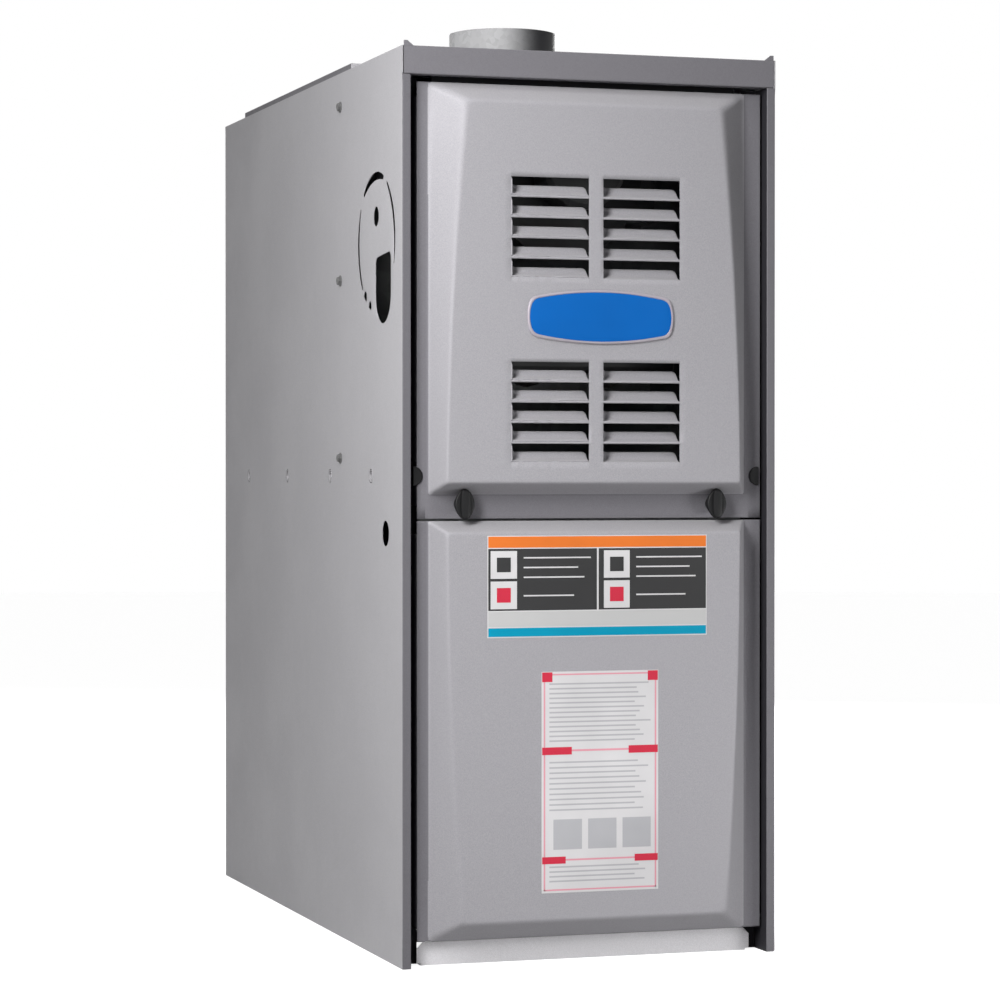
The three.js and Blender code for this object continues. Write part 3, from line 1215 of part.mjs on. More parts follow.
function motorMount() {
  const arm = [BLOWER_WIDTH / 2 + FIT, BLOWER_WIDTH / 2 + FIT + MOTOR_ARM_THICKNESS];
  const inner = BLOWER_MOTOR_RADIUS + FIT;
  const bandStart = arm[0] - MOTOR_BAND_WIDTH + MOTOR_ARM_THICKNESS;
  const axis = [BLOWER_Y, BLOWER_HEIGHT];
  const hole = circle(...axis, inner, 16);
  const band = prism('x', circle(...axis, inner + MOTOR_ARM_THICKNESS, 16), [bandStart, arm[1]], hole);
  const arms = range(MOTOR_ARMS).map((i) => {
    const long = new THREE.BoxGeometry(MOTOR_ARM_THICKNESS, MOTOR_ARM_WIDTH, MOTOR_ARM_REACH - inner - 1);
    long.translate((arm[0] + arm[1]) / 2, 0, (MOTOR_ARM_REACH + inner + 1) / 2);
    long.rotateX((i / MOTOR_ARMS) * 2 * Math.PI);
    return solid(long.translate(0, ...axis));
  });
  return join(band, arms);
}

function capacitor() {
  const x = -BLOWER_WIDTH / 2 - FIT;
  const y = BLOWER_Y - INLET_RADIUS - 4 - CAPACITOR_WIDTH / 2;
  const z = BLOWER_HEIGHT - CAPACITOR_HEIGHT / 2;
  const radius = CAPACITOR_DEPTH / 2;
  const straight = CAPACITOR_WIDTH / 2 - radius;
  const centre = x - 3 - radius;
  const oval = [
    ...circle(centre, y + straight, radius, 8, 0, 180),
    ...circle(centre, y - straight, radius, 8, 180, 360),
  ];
  const can = prism('z', oval, [z, z + CAPACITOR_HEIGHT]);
  const foot = block([centre, x], [y - 14, y + 14], [z + 16, z + 36]);
  return join(can, foot);
}

// ---------------------------------------------------------------- Controls

function controlBracket() {
  const top = DECK_UNDERSIDE - FIT;
  const section = folded([
    [CONTROL_Y + PANEL_FLANGE, top],
    [CONTROL_Y, top],
    [CONTROL_Y, top - CONTROL_HEIGHT],
    [CONTROL_Y + PANEL_FLANGE, top - CONTROL_HEIGHT],
  ]);
  return prism('x', section, [CONTROL_X - CONTROL_WIDTH / 2, CONTROL_X + CONTROL_WIDTH / 2]);
}

function controlBoard() {
  const middle = DECK_UNDERSIDE - CONTROL_HEIGHT / 2;
  const back = CONTROL_Y - FIT - STANDOFF_LENGTH;
  const front = back - BOARD_THICKNESS;
  const across = [CONTROL_X - BOARD_WIDTH / 2, CONTROL_X + BOARD_WIDTH / 2];
  const up = [middle - BOARD_HEIGHT / 2, middle + BOARD_HEIGHT / 2];
  const board = block(across, [front, back], up);
  const standoffs = [-1, 1].flatMap((i) => [-1, 1].map((j) => {
    const place = [CONTROL_X + i * (BOARD_WIDTH / 2 - BOARD_MARGIN), middle + j * (BOARD_HEIGHT / 2 - BOARD_MARGIN)];
    return bar('y', place, STANDOFF_RADIUS, [back - 1, CONTROL_Y - FIT], 8);
  }));
  const part = ([x, z], [width, height], depth) => (
    block([across[0] + x, across[0] + x + width], [front - depth, front + FIT], [up[0] + z, up[0] + z + height])
  );
  const relayHeight = BOARD_HEIGHT - 2 * BOARD_MARGIN - RELAY_SIZE[1];
  const relays = range(RELAY_COUNT).map((i) => (
    part([2 * BOARD_MARGIN + i * RELAY_PITCH, relayHeight], RELAY_SIZE, RELAY_DEPTH)
  ));
  const terminals = part([2 * BOARD_MARGIN, BOARD_MARGIN], TERMINAL_SIZE, CONNECTOR_DEPTH);
  const plug = part([BOARD_WIDTH - 2 * BOARD_MARGIN - PLUG_SIZE[0], 4 * BOARD_MARGIN], PLUG_SIZE, CONNECTOR_DEPTH);
  const middleRow = 2 * BOARD_MARGIN + TERMINAL_SIZE[1];
  const fuse = part([3 * BOARD_MARGIN, middleRow], FUSE_SIZE, CONNECTOR_DEPTH);
  const chip = part([BOARD_WIDTH / 2 - BOARD_MARGIN, middleRow], CHIP_SIZE, CHIP_DEPTH);
  return join(board, standoffs, relays, terminals, plug, fuse, chip);
}

function transformer() {
  const top = DECK_UNDERSIDE - FIT;
  const y = CONTROL_Y;
  const half = TRANSFORMER_WIDTH / 2;
  const foot = block([TRANSFORMER_X - half, TRANSFORMER_X + half],
    [y - TRANSFORMER_DEPTH / 2 + 8, y + TRANSFORMER_DEPTH / 2 - 8], [top - 2, top]);
  const core = block([TRANSFORMER_X - half * 0.72, TRANSFORMER_X + half * 0.72],
    [y - TRANSFORMER_DEPTH * 0.3, y + TRANSFORMER_DEPTH * 0.3], [top - TRANSFORMER_HEIGHT, top - 1]);
  const coil = block([TRANSFORMER_X - half * 0.4, TRANSFORMER_X + half * 0.4],
    [y - TRANSFORMER_DEPTH / 2, y + TRANSFORMER_DEPTH / 2],
    [top - TRANSFORMER_HEIGHT * 0.82, top - TRANSFORMER_HEIGHT * 0.18]);
  return join(foot, core, coil);
}

function doorSwitch() {
  const half = DOOR_SWITCH_SIZE / 2;
  const top = LATCH_RAIL_BOTTOM - FIT;
  const body = block([DOOR_SWITCH_X - half, DOOR_SWITCH_X + half], [STOP, STOP + DOOR_SWITCH_DEPTH],
    [top - DOOR_SWITCH_SIZE, top]);
  const bore = bar('y', [DOOR_SWITCH_X, top - half], PLUNGER_RADIUS + FIT, [STOP - 1, STOP + DOOR_SWITCH_DEPTH - 6], 12);
  return cut(body, bore);
}

function doorPlunger() {
  const z = LATCH_RAIL_BOTTOM - FIT - DOOR_SWITCH_SIZE / 2;
  const tip = FIELD_PLANE + SHEET + FIT;
  return bar('y', [DOOR_SWITCH_X, z], PLUNGER_RADIUS, [tip, STOP + DOOR_SWITCH_DEPTH - 8], 12);
}

// ---------------------------------------------------------------- Materials

const finish = (color, roughness, metalness) => new THREE.MeshStandardMaterial({ color, roughness, metalness });

const PAINT = finish('#a9a7ac', 0.42, 0.45);
const GALVANISED = finish('#c4c6c8', 0.38, 0.85);
const BLACK_PLASTIC = finish('#1b1b1d', 0.5, 0);
const ALUMINISED = finish('#a8a59d', 0.45, 0.8);
const FOIL = finish('#c9c9c6', 0.4, 0.6);
const CAST = finish('#8f9194', 0.6, 0.5);
const MOTOR_BLACK = finish('#2a2a2c', 0.55, 0.2);
const CERAMIC = finish('#e6e2d8', 0.8, 0);
const CIRCUIT = finish('#1f5d3a', 0.6, 0);
const COPPER = finish('#7a4a2a', 0.5, 0.3);
const BLUE_KNOB = finish('#27508c', 0.5, 0);
const SWITCH_PLASTIC = finish('#3a3a3d', 0.6, 0);
const RED_BUTTON = finish('#b3261e', 0.5, 0);
const RUBBER = finish('#26262a', 0.8, 0);

// ---------------------------------------------------------------- Assembly

const furnace = new THREE.Group();

// The bevelled fields stand out in front, so the footprint's middle is ahead of the cabinet's.
furnace.position.y = DOOR_PROUD / 2;

function place(name, shape, material) {
  const mesh = new THREE.Mesh(geometryOf(shape), material);
  mesh.name = name;
  furnace.add(mesh);
}

place('left_panel', sidePanel(-1), PAINT);
place('right_panel', sidePanel(1), PAINT);
place('back_panel', backPanel(), PAINT);
place('top_rail', topRail(), PAINT);
place('top_panel', topPanel(), PAINT);
place('supply_flange_left', supplyFlangeSide(-1), GALVANISED);
place('supply_flange_right', supplyFlangeSide(1), GALVANISED);
place('supply_flange_back', supplyFlangeBack(), GALVANISED);
place('flue_collar', flueCollar(), GALVANISED);
place('base_pan', basePan(), GALVANISED);

place('upper_door', upperDoor(), PAINT);
place('lower_door', lowerDoor(), PAINT);
place('knob_left', knob(-1), BLACK_PLASTIC);
place('knob_right', knob(1), BLACK_PLASTIC);
place('latch_arm_left', latchArm(-1), GALVANISED);
place('latch_arm_right', latchArm(1), GALVANISED);
place('latch_rail', latchRail(), GALVANISED);

place('blower_deck', blowerDeck(), GALVANISED);
place('vestibule_panel', vestibulePanel(), GALVANISED);
place('liner_left', liner(-1), FOIL);
place('liner_right', liner(1), FOIL);
place('liner_back', backLiner(), FOIL);
range(TUBE_COUNT).forEach((i) => place(`exchanger_tube_${i + 1}`, exchangerTube(i), ALUMINISED));
place('collector_box', collectorBox(), ALUMINISED);

place('inducer_housing', inducerHousing(), MOTOR_BLACK);
place('inducer_wheel', inducerWheel(), ALUMINISED);
place('inducer_motor', inducerMotor(), CAST);
place('vent_adapter', ventAdapter(), GALVANISED);

place('burner_rack', burnerRack(), GALVANISED);
range(TUBE_COUNT).forEach((i) => place(`burner_${i + 1}`, burner(i), ALUMINISED));
place('gas_manifold', manifold(), MOTOR_BLACK);
place('gas_valve', gasValve(), CAST);
place('gas_cock', gasCock(), BLUE_KNOB);
place('igniter', flameRod(-1, 24), CERAMIC);
place('flame_sensor', flameRod(1, 16), CERAMIC);
place('limit_switch', limitSwitch(), SWITCH_PLASTIC);
place('rollout_switch', rolloutSwitch(), SWITCH_PLASTIC);
place('reset_button', resetButton(), RED_BUTTON);
place('pressure_switch', pressureSwitch(), SWITCH_PLASTIC);
place('pressure_hose', pressureHose(), RUBBER);

place('blower_scroll', blowerScroll(), GALVANISED);
place('blower_side_left', blowerSide(-1), GALVANISED);
place('blower_side_right', blowerSide(1), GALVANISED);
place('blower_wheel', blowerWheel(), GALVANISED);
place('blower_motor', blowerMotor(), MOTOR_BLACK);
place('motor_mount', motorMount(), GALVANISED);
place('capacitor', capacitor(), CAST);

place('control_bracket', controlBracket(), GALVANISED);
place('control_board', controlBoard(), CIRCUIT);
place('transformer', transformer(), COPPER);
place('door_switch', doorSwitch(), SWITCH_PLASTIC);
place('door_plunger', doorPlunger(), BLACK_PLASTIC);

export default furnace;
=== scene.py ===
import math

import bmesh
import bpy
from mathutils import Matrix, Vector
from mathutils.geometry import delaunay_2d_cdt


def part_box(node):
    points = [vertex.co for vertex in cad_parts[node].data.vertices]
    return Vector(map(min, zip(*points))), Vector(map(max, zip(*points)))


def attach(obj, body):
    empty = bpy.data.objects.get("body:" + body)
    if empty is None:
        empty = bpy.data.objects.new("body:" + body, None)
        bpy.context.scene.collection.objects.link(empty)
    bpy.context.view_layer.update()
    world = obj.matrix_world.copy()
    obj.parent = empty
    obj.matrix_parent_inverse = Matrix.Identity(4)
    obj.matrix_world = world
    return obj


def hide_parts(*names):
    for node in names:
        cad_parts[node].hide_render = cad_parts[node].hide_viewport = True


# Upflow gas furnace: painted sheet steel cabinet with two bevelled doors, and the burners, draft
# inducer, heat exchanger and blower behind them. Lengths here are millimetres; the doors face -Y.

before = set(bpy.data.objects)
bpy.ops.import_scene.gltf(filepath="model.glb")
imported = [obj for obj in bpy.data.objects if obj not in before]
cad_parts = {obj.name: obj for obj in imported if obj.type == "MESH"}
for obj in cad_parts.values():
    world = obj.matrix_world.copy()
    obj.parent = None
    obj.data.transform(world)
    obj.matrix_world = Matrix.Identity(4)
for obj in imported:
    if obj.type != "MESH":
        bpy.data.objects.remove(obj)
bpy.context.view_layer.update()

SHEET = 1.2
CABINET_HALF = 184
CABINET_FRONT = -356.5
CABINET_BACK = 367.5
CABINET_HEIGHT = 846
TOP_SKIN = 844.6  # upper face of the top panel
STOP_FLANGE = -325.5  # plane that the doors close against
STOP_FLANGE_EDGE = 161.5
POST_EDGE = 175.5
POST_TOP = 819.7  # the posts end under the top rail

DOOR_EDGES = (-167, 173.3)  # the doors sit nearer the right post
DOOR_FLANGE = -345.5
DOOR_FIELD = -367.5
DOOR_RETURN_END = -326.3
BEVEL_FOOT = 156.25
FIELD_HALF = 144.5
FIELD_WIDEST = 422.75  # height at which the fields are widest
CORNER_NOTCH = 12
TONGUE_HALF = 150
TONGUE_FRONT = -336
BUFFER_X = 170.6
BUFFER_Z = 452

LOUVRE_COLUMNS = (-45, 45)
LOUVRE_HALF = 38
LOUVRE_CORNER = 4.4  # rounding of a blade's free corner
LOUVRE_CLOSED_END = 6
LOUVRE_DEPTH = 10
LOUVRE_PITCH = 18.9
LOUVRE_HEIGHT = 16.9
LOUVRE_MOUTH = 7.4
LOUVRE_ROWS = 5
LOUVRE_GROUPS = (728.0, 557.5)  # top of each group

KNOB_X = 124.4
KNOB_Z = 427
KNOB_FOOT = -345.8

FLUE_CENTRE = (-48, -233.1)
FLUE_RADIUS = 51.5


def metres(point):
    """A point in millimetres as a vector in metres."""
    return Vector(point) / 1000


def ramp(start, end, share):
    """The value at a share of the way from start to end."""
    return start + (end - start) * share


# ---------------- Mesh making

def new_object(name, data):
    """An object in the scene."""
    thing = bpy.data.objects.new(name, data)
    bpy.context.scene.collection.objects.link(thing)
    return thing


def make_piece(name, points, faces, body, finish, slot, stands_for=(), smooth=True):
    """A mesh piece from points in millimetres, riding on a body and standing for CAD nodes."""
    mesh = bpy.data.meshes.new(name)
    mesh.from_pydata([metres(point) for point in points], [], faces)
    mesh.validate()
    sheet = bmesh.new()
    sheet.from_mesh(mesh)
    bmesh.ops.remove_doubles(sheet, verts=sheet.verts, dist=1e-5)
    bmesh.ops.recalc_face_normals(sheet, faces=sheet.faces)
    sheet.to_mesh(mesh)
    sheet.free()
    for polygon in mesh.polygons:
        polygon.use_smooth = smooth
    piece = new_object(name, mesh)
    mesh.materials.append(finish)
    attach(piece, body)
    if stands_for:
        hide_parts(*stands_for)
    return piece


def face_towards(piece, direction):
    """Turns a piece of open sheet so that its largest faces look along a direction."""
    mesh = piece.data
    total = sum((polygon.normal * polygon.area for polygon in mesh.polygons), Vector())
    if total.dot(Vector(direction)) < 0:
        mesh.flip_normals()


def fold_edges(piece, width, angle=40, steps=3):
    """Rounds the edges that are sharper than an angle."""
    bevel = piece.modifiers.new("folds", "BEVEL")
    bevel.width = width / 1000
    bevel.segments = steps
    bevel.limit_method = "ANGLE"
    bevel.angle_limit = math.radians(angle)
    bevel.use_clamp_overlap = True


def thicken(piece):
    """Gives open sheet its thickness, on the inner side."""
    solidify = piece.modifiers.new("sheet", "SOLIDIFY")
    solidify.thickness = SHEET / 1000
    solidify.offset = -1


def flat_lit(piece):
    """Lets the large flat faces set the shading, so that small folds beside them stay crisp."""
    weighted = piece.modifiers.new("flat faces lead", "WEIGHTED_NORMAL")
    weighted.mode = "FACE_AREA"
    weighted.weight = 100
    weighted.keep_sharp = True


def crisp(piece, angle):
    """Keeps edges over an angle sharp in smooth shading."""
    piece.data.set_sharp_from_angle(angle=math.radians(angle))


def grid_faces(rows, columns, skip=lambda row, column: False):
    """Faces between points that are listed row by row."""
    faces = []
    for row in range(rows - 1):
        for column in range(columns - 1):
            if not skip(row, column):
                corner = row * columns + column
                faces.append((corner, corner + 1, corner + 1 + columns, corner + columns))
    return faces


def ring_faces(rings, count):
    """Faces between closed rings of points."""
    faces = []
    for start in range(0, (rings - 1) * count, count):
        for side in range(count):
            after = start + (side + 1) % count
            faces.append((start + side, after, after + count, start + side + count))
    return faces


def turned(profile, centre, axis="z", sides=64):
    """Points and faces of a profile of (radius, distance) turned about an axis."""
    points = []
    for radius, along in profile:
        for side in range(sides):
            angle = 2 * math.pi * side / sides
            a, b = radius * math.cos(angle), radius * math.sin(angle)
            offset = {"x": (along, a, b), "y": (a, along, b), "z": (a, b, along)}[axis]
            points.append(tuple(offset[i] + centre[i] for i in range(3)))
    return points, ring_faces(len(profile), sides)


def lofted(rings):
    """Points and faces of a skin over rings with equal counts, with flat ends."""
    count = len(rings[0])
    points = [point for ring in rings for point in ring]
    ends = [tuple(range(count))[::-1], tuple(range(len(points) - count, len(points)))]
    return points, ring_faces(len(rings), count) + ends


def merged(*parts):
    """One list of points and faces from several."""
    points, faces = [], []
    for more_points, more_faces in parts:
        faces += [tuple(index + len(points) for index in face) for face in more_faces]
        points += more_points
    return points, faces


def circle(a, b, radius, sides=48, start=0, end=360):
    """Points of a circle, or of an arc with both its ends."""
    last = 0 if end - start == 360 else 1
    return [(a + radius * math.cos(math.radians(ramp(start, end, i / sides))),
             b + radius * math.sin(math.radians(ramp(start, end, i / sides))))
            for i in range(sides + last)]


def box_part(low, high):
    """Points and faces of a block between two corners."""
    (x0, y0, z0), (x1, y1, z1) = low, high
    points = [(x, y, z) for z in (z0, z1) for y in (y0, y1) for x in (x0, x1)]
    faces = [(0, 2, 3, 1), (4, 5, 7, 6), (0, 1, 5, 4), (2, 6, 7, 3), (0, 4, 6, 2), (1, 3, 7, 5)]
    return points, faces


# ---------------- Shared effects of the finishes

def connect(tree, value, socket):
    """Gives an input a value, or links it to another node's output."""
    if isinstance(value, bpy.types.NodeSocket):
        tree.links.new(value, socket)
    else:
        socket.default_value = value


def add(tree, kind, **inputs):
    """A new shader node; its inputs, named with _ for a space, get values or sockets."""
    node = tree.nodes.new("ShaderNode" + kind)
    for label, value in inputs.items():
        connect(tree, value, node.inputs[label.replace("_", " ")])
    return node


def combine(tree, operation, *values, kind="Math", output=0):
    """Result of a sum on values or sockets."""
    node = add(tree, kind)
    node.operation = operation
    for value, socket in zip(values, node.inputs):
        connect(tree, value, socket)
    return node.outputs[output]


def noise(tree, vector, scale, detail=3, rough=0.5):
    """Soft random patches."""
    return add(tree, "TexNoise", Vector=vector, Scale=scale, Detail=detail, Roughness=rough).outputs["Fac"]


def span(tree, value, low, high, start=0, end=1):
    """Moves a value smoothly from start to end while it goes from low to high."""
    node = add(tree, "MapRange", Value=value, From_Min=low, From_Max=high, To_Min=start, To_Max=end)
    node.interpolation_type = "SMOOTHSTEP"
    return node.outputs["Result"]


def effect(name, outputs, **inputs):
    """An empty shader group: a Vector and other inputs with their values, and number outputs."""
    group = bpy.data.node_groups.new(name, "ShaderNodeTree")
    group.interface.new_socket("Vector", in_out="INPUT", socket_type="NodeSocketVector")
    for label, value in inputs.items():
        kind = "NodeSocketVector" if isinstance(value, tuple) else "NodeSocketFloat"
        socket = group.interface.new_socket(label.replace("_", " "), in_out="INPUT", socket_type=kind)
        socket.default_value = value
    for label in outputs:
        group.interface.new_socket(label, in_out="OUTPUT", socket_type="NodeSocketFloat")
    given = group.nodes.new("NodeGroupInput")
    made = group.nodes.new("NodeGroupOutput")
    return group, given.outputs, made.inputs


def paint_grain_effect():
    """Fine metal flake and the slight orange peel of sprayed paint."""
    group, given, made = effect("Paint Grain", ("Flake", "Peel", "Cloud"),
                                Flake_Scale=2600.0, Peel_Scale=420.0)
    place = given["Vector"]
    flake = add(group, "TexVoronoi", Vector=place, Scale=given["Flake Scale"])
    tone = add(group, "SeparateColor", Color=flake.outputs["Color"])
    connect(group, tone.outputs["Red"], made["Flake"])
    connect(group, noise(group, place, given["Peel Scale"], 2), made["Peel"])
    connect(group, noise(group, place, 5.0, 4, 0.6), made["Cloud"])
    return group


def spangle_effect():
    """Crystals of a zinc coating: patches of slightly different shade and gloss."""
    group, given, made = effect("Zinc Spangle", ("Shade", "Gloss", "Relief"), Crystal_Scale=70.0)
    place = given["Vector"]
    warp = add(group, "TexNoise", Vector=place, Scale=60.0)
    warped = combine(group, "MULTIPLY_ADD", warp.outputs["Color"], (0.008, 0.008, 0.008), place,
                     kind="VectorMath")
    crystal = add(group, "TexVoronoi", Vector=warped, Scale=given["Crystal Scale"])
    tone = add(group, "SeparateColor", Color=crystal.outputs["Color"])
    connect(group, tone.outputs["Red"], made["Shade"])
    connect(group, tone.outputs["Green"], made["Gloss"])
    connect(group, crystal.outputs["Distance"], made["Relief"])
    return group


def rolling_effect():
    """Long faint streaks that the mill leaves along a sheet."""
    group, given, made = effect("Rolling Streaks", ("Streak", "Relief"), Stretch=(4.0, 900.0, 900.0))
    stretched = combine(group, "MULTIPLY", given["Vector"], given["Stretch"], kind="VectorMath")
    streak = noise(group, stretched, 1.0, 4, 0.6)
    connect(group, span(group, streak, 0.35, 0.65), made["Streak"])
    connect(group, streak, made["Relief"])
    return group


def dust_effect():
    """Dust that settles on faces that look up, thicker in soft patches."""
    group, given, made = effect("Settled Dust", ("Mask",), Amount=0.3)
    parts = add(group, "SeparateXYZ", Vector=add(group, "NewGeometry").outputs["Normal"])
    up = span(group, parts.outputs["Z"], 0.45, 0.95)
    patch = span(group, noise(group, given["Vector"], 14.0, 5, 0.65), 0.3, 0.75, 0.35, 1.0)
    settled = combine(group, "MULTIPLY", up, patch)
    connect(group, combine(group, "MULTIPLY", settled, given["Amount"]), made["Mask"])
    return group


def handling_effect():
    """Finger smears and rubbing that change how glossy a finish is."""
    group, given, made = effect("Handling Marks", ("Roughness", "Smear"), Clean=0.35, Rubbed=0.5)
    broad = combine(group, "MULTIPLY", noise(group, given["Vector"], 9.0, 5, 0.6), 0.7)
    fine = combine(group, "MULTIPLY", noise(group, given["Vector"], 75.0), 0.3)
    smear = combine(group, "ADD", broad, fine)
    connect(group, span(group, smear, 0.35, 0.65, given["Clean"], given["Rubbed"]), made["Roughness"])
    connect(group, smear, made["Smear"])
    return group


PAINT_GRAIN = paint_grain_effect()
ZINC_SPANGLE = spangle_effect()
ROLLING_STREAKS = rolling_effect()
SETTLED_DUST = dust_effect()
HANDLING_MARKS = handling_effect()


# ---------------- Finishes

DUST = (0.5, 0.48, 0.45)


def shade(tone, share):
    """A tone made darker or lighter."""
    return tuple(min(value * share, 1) for value in tone)


class Finish:
    """A material under construction: its Principled shader, and the object's own coordinates."""

    def __init__(self, name, metallic=0.0, specular=0.5):
        self.material = bpy.data.materials.new(name)
        self.material.use_nodes = True
        self.tree = self.material.node_tree
        self.tree.nodes.clear()
        self.shader = self.tree.nodes.new("ShaderNodeBsdfPrincipled")
        self.shader.inputs["Metallic"].default_value = metallic
        self.shader.inputs["Specular IOR Level"].default_value = specular
        add(self.tree, "OutputMaterial", Surface=self.shader.outputs["BSDF"])
        self.place = add(self.tree, "TexCoord").outputs["Object"]

    def group(self, tree, **values):
        """Results of a shared effect."""
        node = add(self.tree, "Group")
        node.node_tree = tree
        for label, value in (("Vector", self.place), *values.items()):
            connect(self.tree, value, node.inputs[label.replace("_", " ")])
        return node.outputs

    def blend(self, mask, first, second):
        """Colour between two, each a colour or a socket."""
        node = add(self.tree, "Mix")
        node.data_type = "RGBA"
        for index, value in ((0, mask), (6, first), (7, second)):
            connect(self.tree, (*value, 1) if isinstance(value, tuple) else value, node.inputs[index])
        return node.outputs[2]

    def scaled(self, value, low, high, start=0, end=1):
        return span(self.tree, value, low, high, start, end)

    def colour(self, socket):
        connect(self.tree, socket, self.shader.inputs["Base Color"])

    def rough(self, value):
        connect(self.tree, value, self.shader.inputs["Roughness"])

    def dusted(self, colour, amount, dust=DUST):
        """Sets the colour, under settled dust."""
        self.colour(self.blend(self.group(SETTLED_DUST, Amount=amount)["Mask"], colour, dust))

    def worn(self, clean, rubbed):
        """Sets the roughness of clean and rubbed places, and tells where the smears are."""
        marks = self.group(HANDLING_MARKS, Clean=clean, Rubbed=rubbed)
        self.rough(marks["Roughness"])
        return marks["Smear"]

    def bump(self, height, depth, strength):
        """Sets a relief with its depth in millimetres."""
        node = add(self.tree, "Bump", Height=height, Distance=depth / 1000, Strength=strength)
        connect(self.tree, node.outputs["Normal"], self.shader.inputs["Normal"])


def paint(name, tone, metallic=0.05):
    """Silver-grey sprayed paint."""
    finish = Finish(name, metallic, 0.04)
    grain = finish.group(PAINT_GRAIN)
    flaked = finish.blend(finish.scaled(grain["Flake"], 0.1, 0.9), shade(tone, 0.91), shade(tone, 1.08))
    clouded = finish.blend(finish.scaled(grain["Cloud"], 0.35, 0.65, 0, 0.35), flaked, tone)
    finish.dusted(clouded, 0.12, (0.52, 0.5, 0.47))
    finish.worn(0.42, 0.54)
    finish.bump(grain["Peel"], 0.02, 0.35)
    return finish.material


def zinc(name, tone, crystal=70.0, metallic=0.4, clean=0.28, rubbed=0.5, dust=0.15, specular=0.5):
    """Galvanised sheet with its spangle."""
    finish = Finish(name, metallic, specular)
    spangle = finish.group(ZINC_SPANGLE, Crystal_Scale=crystal)
    marks = finish.group(HANDLING_MARKS, Clean=clean, Rubbed=rubbed)
    streaks = finish.group(ROLLING_STREAKS)
    patches = finish.blend(spangle["Shade"], shade(tone, 0.84), shade(tone, 1.1))
    finish.dusted(finish.blend(finish.scaled(streaks["Streak"], 0, 1, 0, 0.25), patches, tone), dust)
    gloss = finish.scaled(spangle["Gloss"], 0, 1, -0.04, 0.06)
    finish.rough(combine(finish.tree, "ADD", marks["Roughness"], gloss))
    finish.bump(spangle["Relief"], 0.05, 0.25)
    return finish.material


def collar_painted_shade(name, tone, dark):
    """Galvanised collar with painted shade: darker on the side away from the light."""
    finish = Finish(name, 0.04, 0.06)
    spangle = finish.group(ZINC_SPANGLE, Crystal_Scale=220.0)
    away = Vector((0.86, -0.51, 0))
    around = combine(finish.tree, "DOT_PRODUCT", finish.place, away, kind="VectorMath", output=1)
    middle = away.dot(metres((*FLUE_CENTRE, 0)))
    # Painted shade: the tone falls to dark across the collar, on the side turned away from the lamps.
    shade_mask = finish.scaled(around, middle + 0.012, middle + 0.045)
    finish.colour(finish.blend(shade_mask, finish.blend(spangle["Shade"], shade(tone, 0.86), tone), dark))
    finish.worn(0.34, 0.44)
    finish.bump(spangle["Relief"], 0.05, 0.25)
    return finish.material


def aluminised(name, tone, heat=(0.32, 0.27, 0.2)):
    """Aluminised sheet, dull, with the straw tint that flue gas leaves."""
    finish = Finish(name, 0.8)
    streaks = finish.group(ROLLING_STREAKS, Stretch=(900.0, 5.0, 900.0))
    stained = finish.blend(finish.scaled(finish.worn(0.36, 0.56), 0.5, 0.75, 0, 0.6), tone, heat)
    finish.colour(finish.blend(finish.scaled(streaks["Streak"], 0, 1, 0, 0.4), stained, shade(tone, 0.82)))
    finish.bump(streaks["Relief"], 0.03, 0.3)
    return finish.material


def moulded(name, tone, clean=0.42, rubbed=0.6, grain_size=900.0, depth=0.02, dust=0.15):
    """Moulded plastic or rubber with a fine spark-eroded grain."""
    finish = Finish(name, 0.0, 0.2)
    grain = finish.group(PAINT_GRAIN, Flake_Scale=grain_size, Peel_Scale=grain_size)
    rubbed_tone = tuple(min(value * 1.3 + 0.003, 1) for value in tone)
    smear = finish.scaled(finish.worn(clean, rubbed), 0.5, 0.75, 0, 0.5)
    finish.dusted(finish.blend(smear, tone, rubbed_tone), dust, (0.3, 0.29, 0.27))
    finish.bump(grain["Peel"], depth, 0.4)
    return finish.material


def cast(name, tone, metallic=0.6, clean=0.45, rubbed=0.62):
    """Die-cast or sand-cast metal with a pebbled skin."""
    finish = Finish(name, metallic)
    grain = finish.group(PAINT_GRAIN, Flake_Scale=1400.0, Peel_Scale=650.0)
    clouds = finish.scaled(grain["Cloud"], 0.35, 0.65, 0, 0.7)
    finish.dusted(finish.blend(clouds, tone, shade(tone, 0.8)), 0.12)
    finish.worn(clean, rubbed)
    finish.bump(grain["Peel"], 0.08, 0.5)
    return finish.material


def foil(name, tone):
    """Foil facing of glass fibre: crinkled, with the quilting of its scrim."""
    finish = Finish(name, 0.35)
    crinkle = noise(finish.tree, finish.place, 55.0, 6, 0.7)
    scrim = add(finish.tree, "TexWave", Vector=finish.place, Scale=25.0)
    scrim.wave_type = "BANDS"
    scrim.bands_direction = "Z"
    finish.colour(finish.blend(finish.scaled(crinkle, 0.35, 0.65), shade(tone, 0.75), tone))
    finish.worn(0.3, 0.5)
    quilting = combine(finish.tree, "MULTIPLY", scrim.outputs["Fac"], 0.12)
    finish.bump(combine(finish.tree, "ADD", crinkle, quilting), 1.2, 0.7)
    return finish.material


def plate_finish(name, tone, rough, metallic=0.0):
    """Printed film or enamel of one tone, with faint clouds and a thin varnish."""
    finish = Finish(name, metallic, 0.15)
    grain = finish.group(PAINT_GRAIN, Peel_Scale=260.0)
    finish.colour(finish.blend(finish.scaled(grain["Cloud"], 0.35, 0.65), tone, shade(tone, 0.86)))
    finish.worn(rough, rough + 0.14)
    finish.bump(grain["Peel"], 0.015, 0.2)
    return finish.material


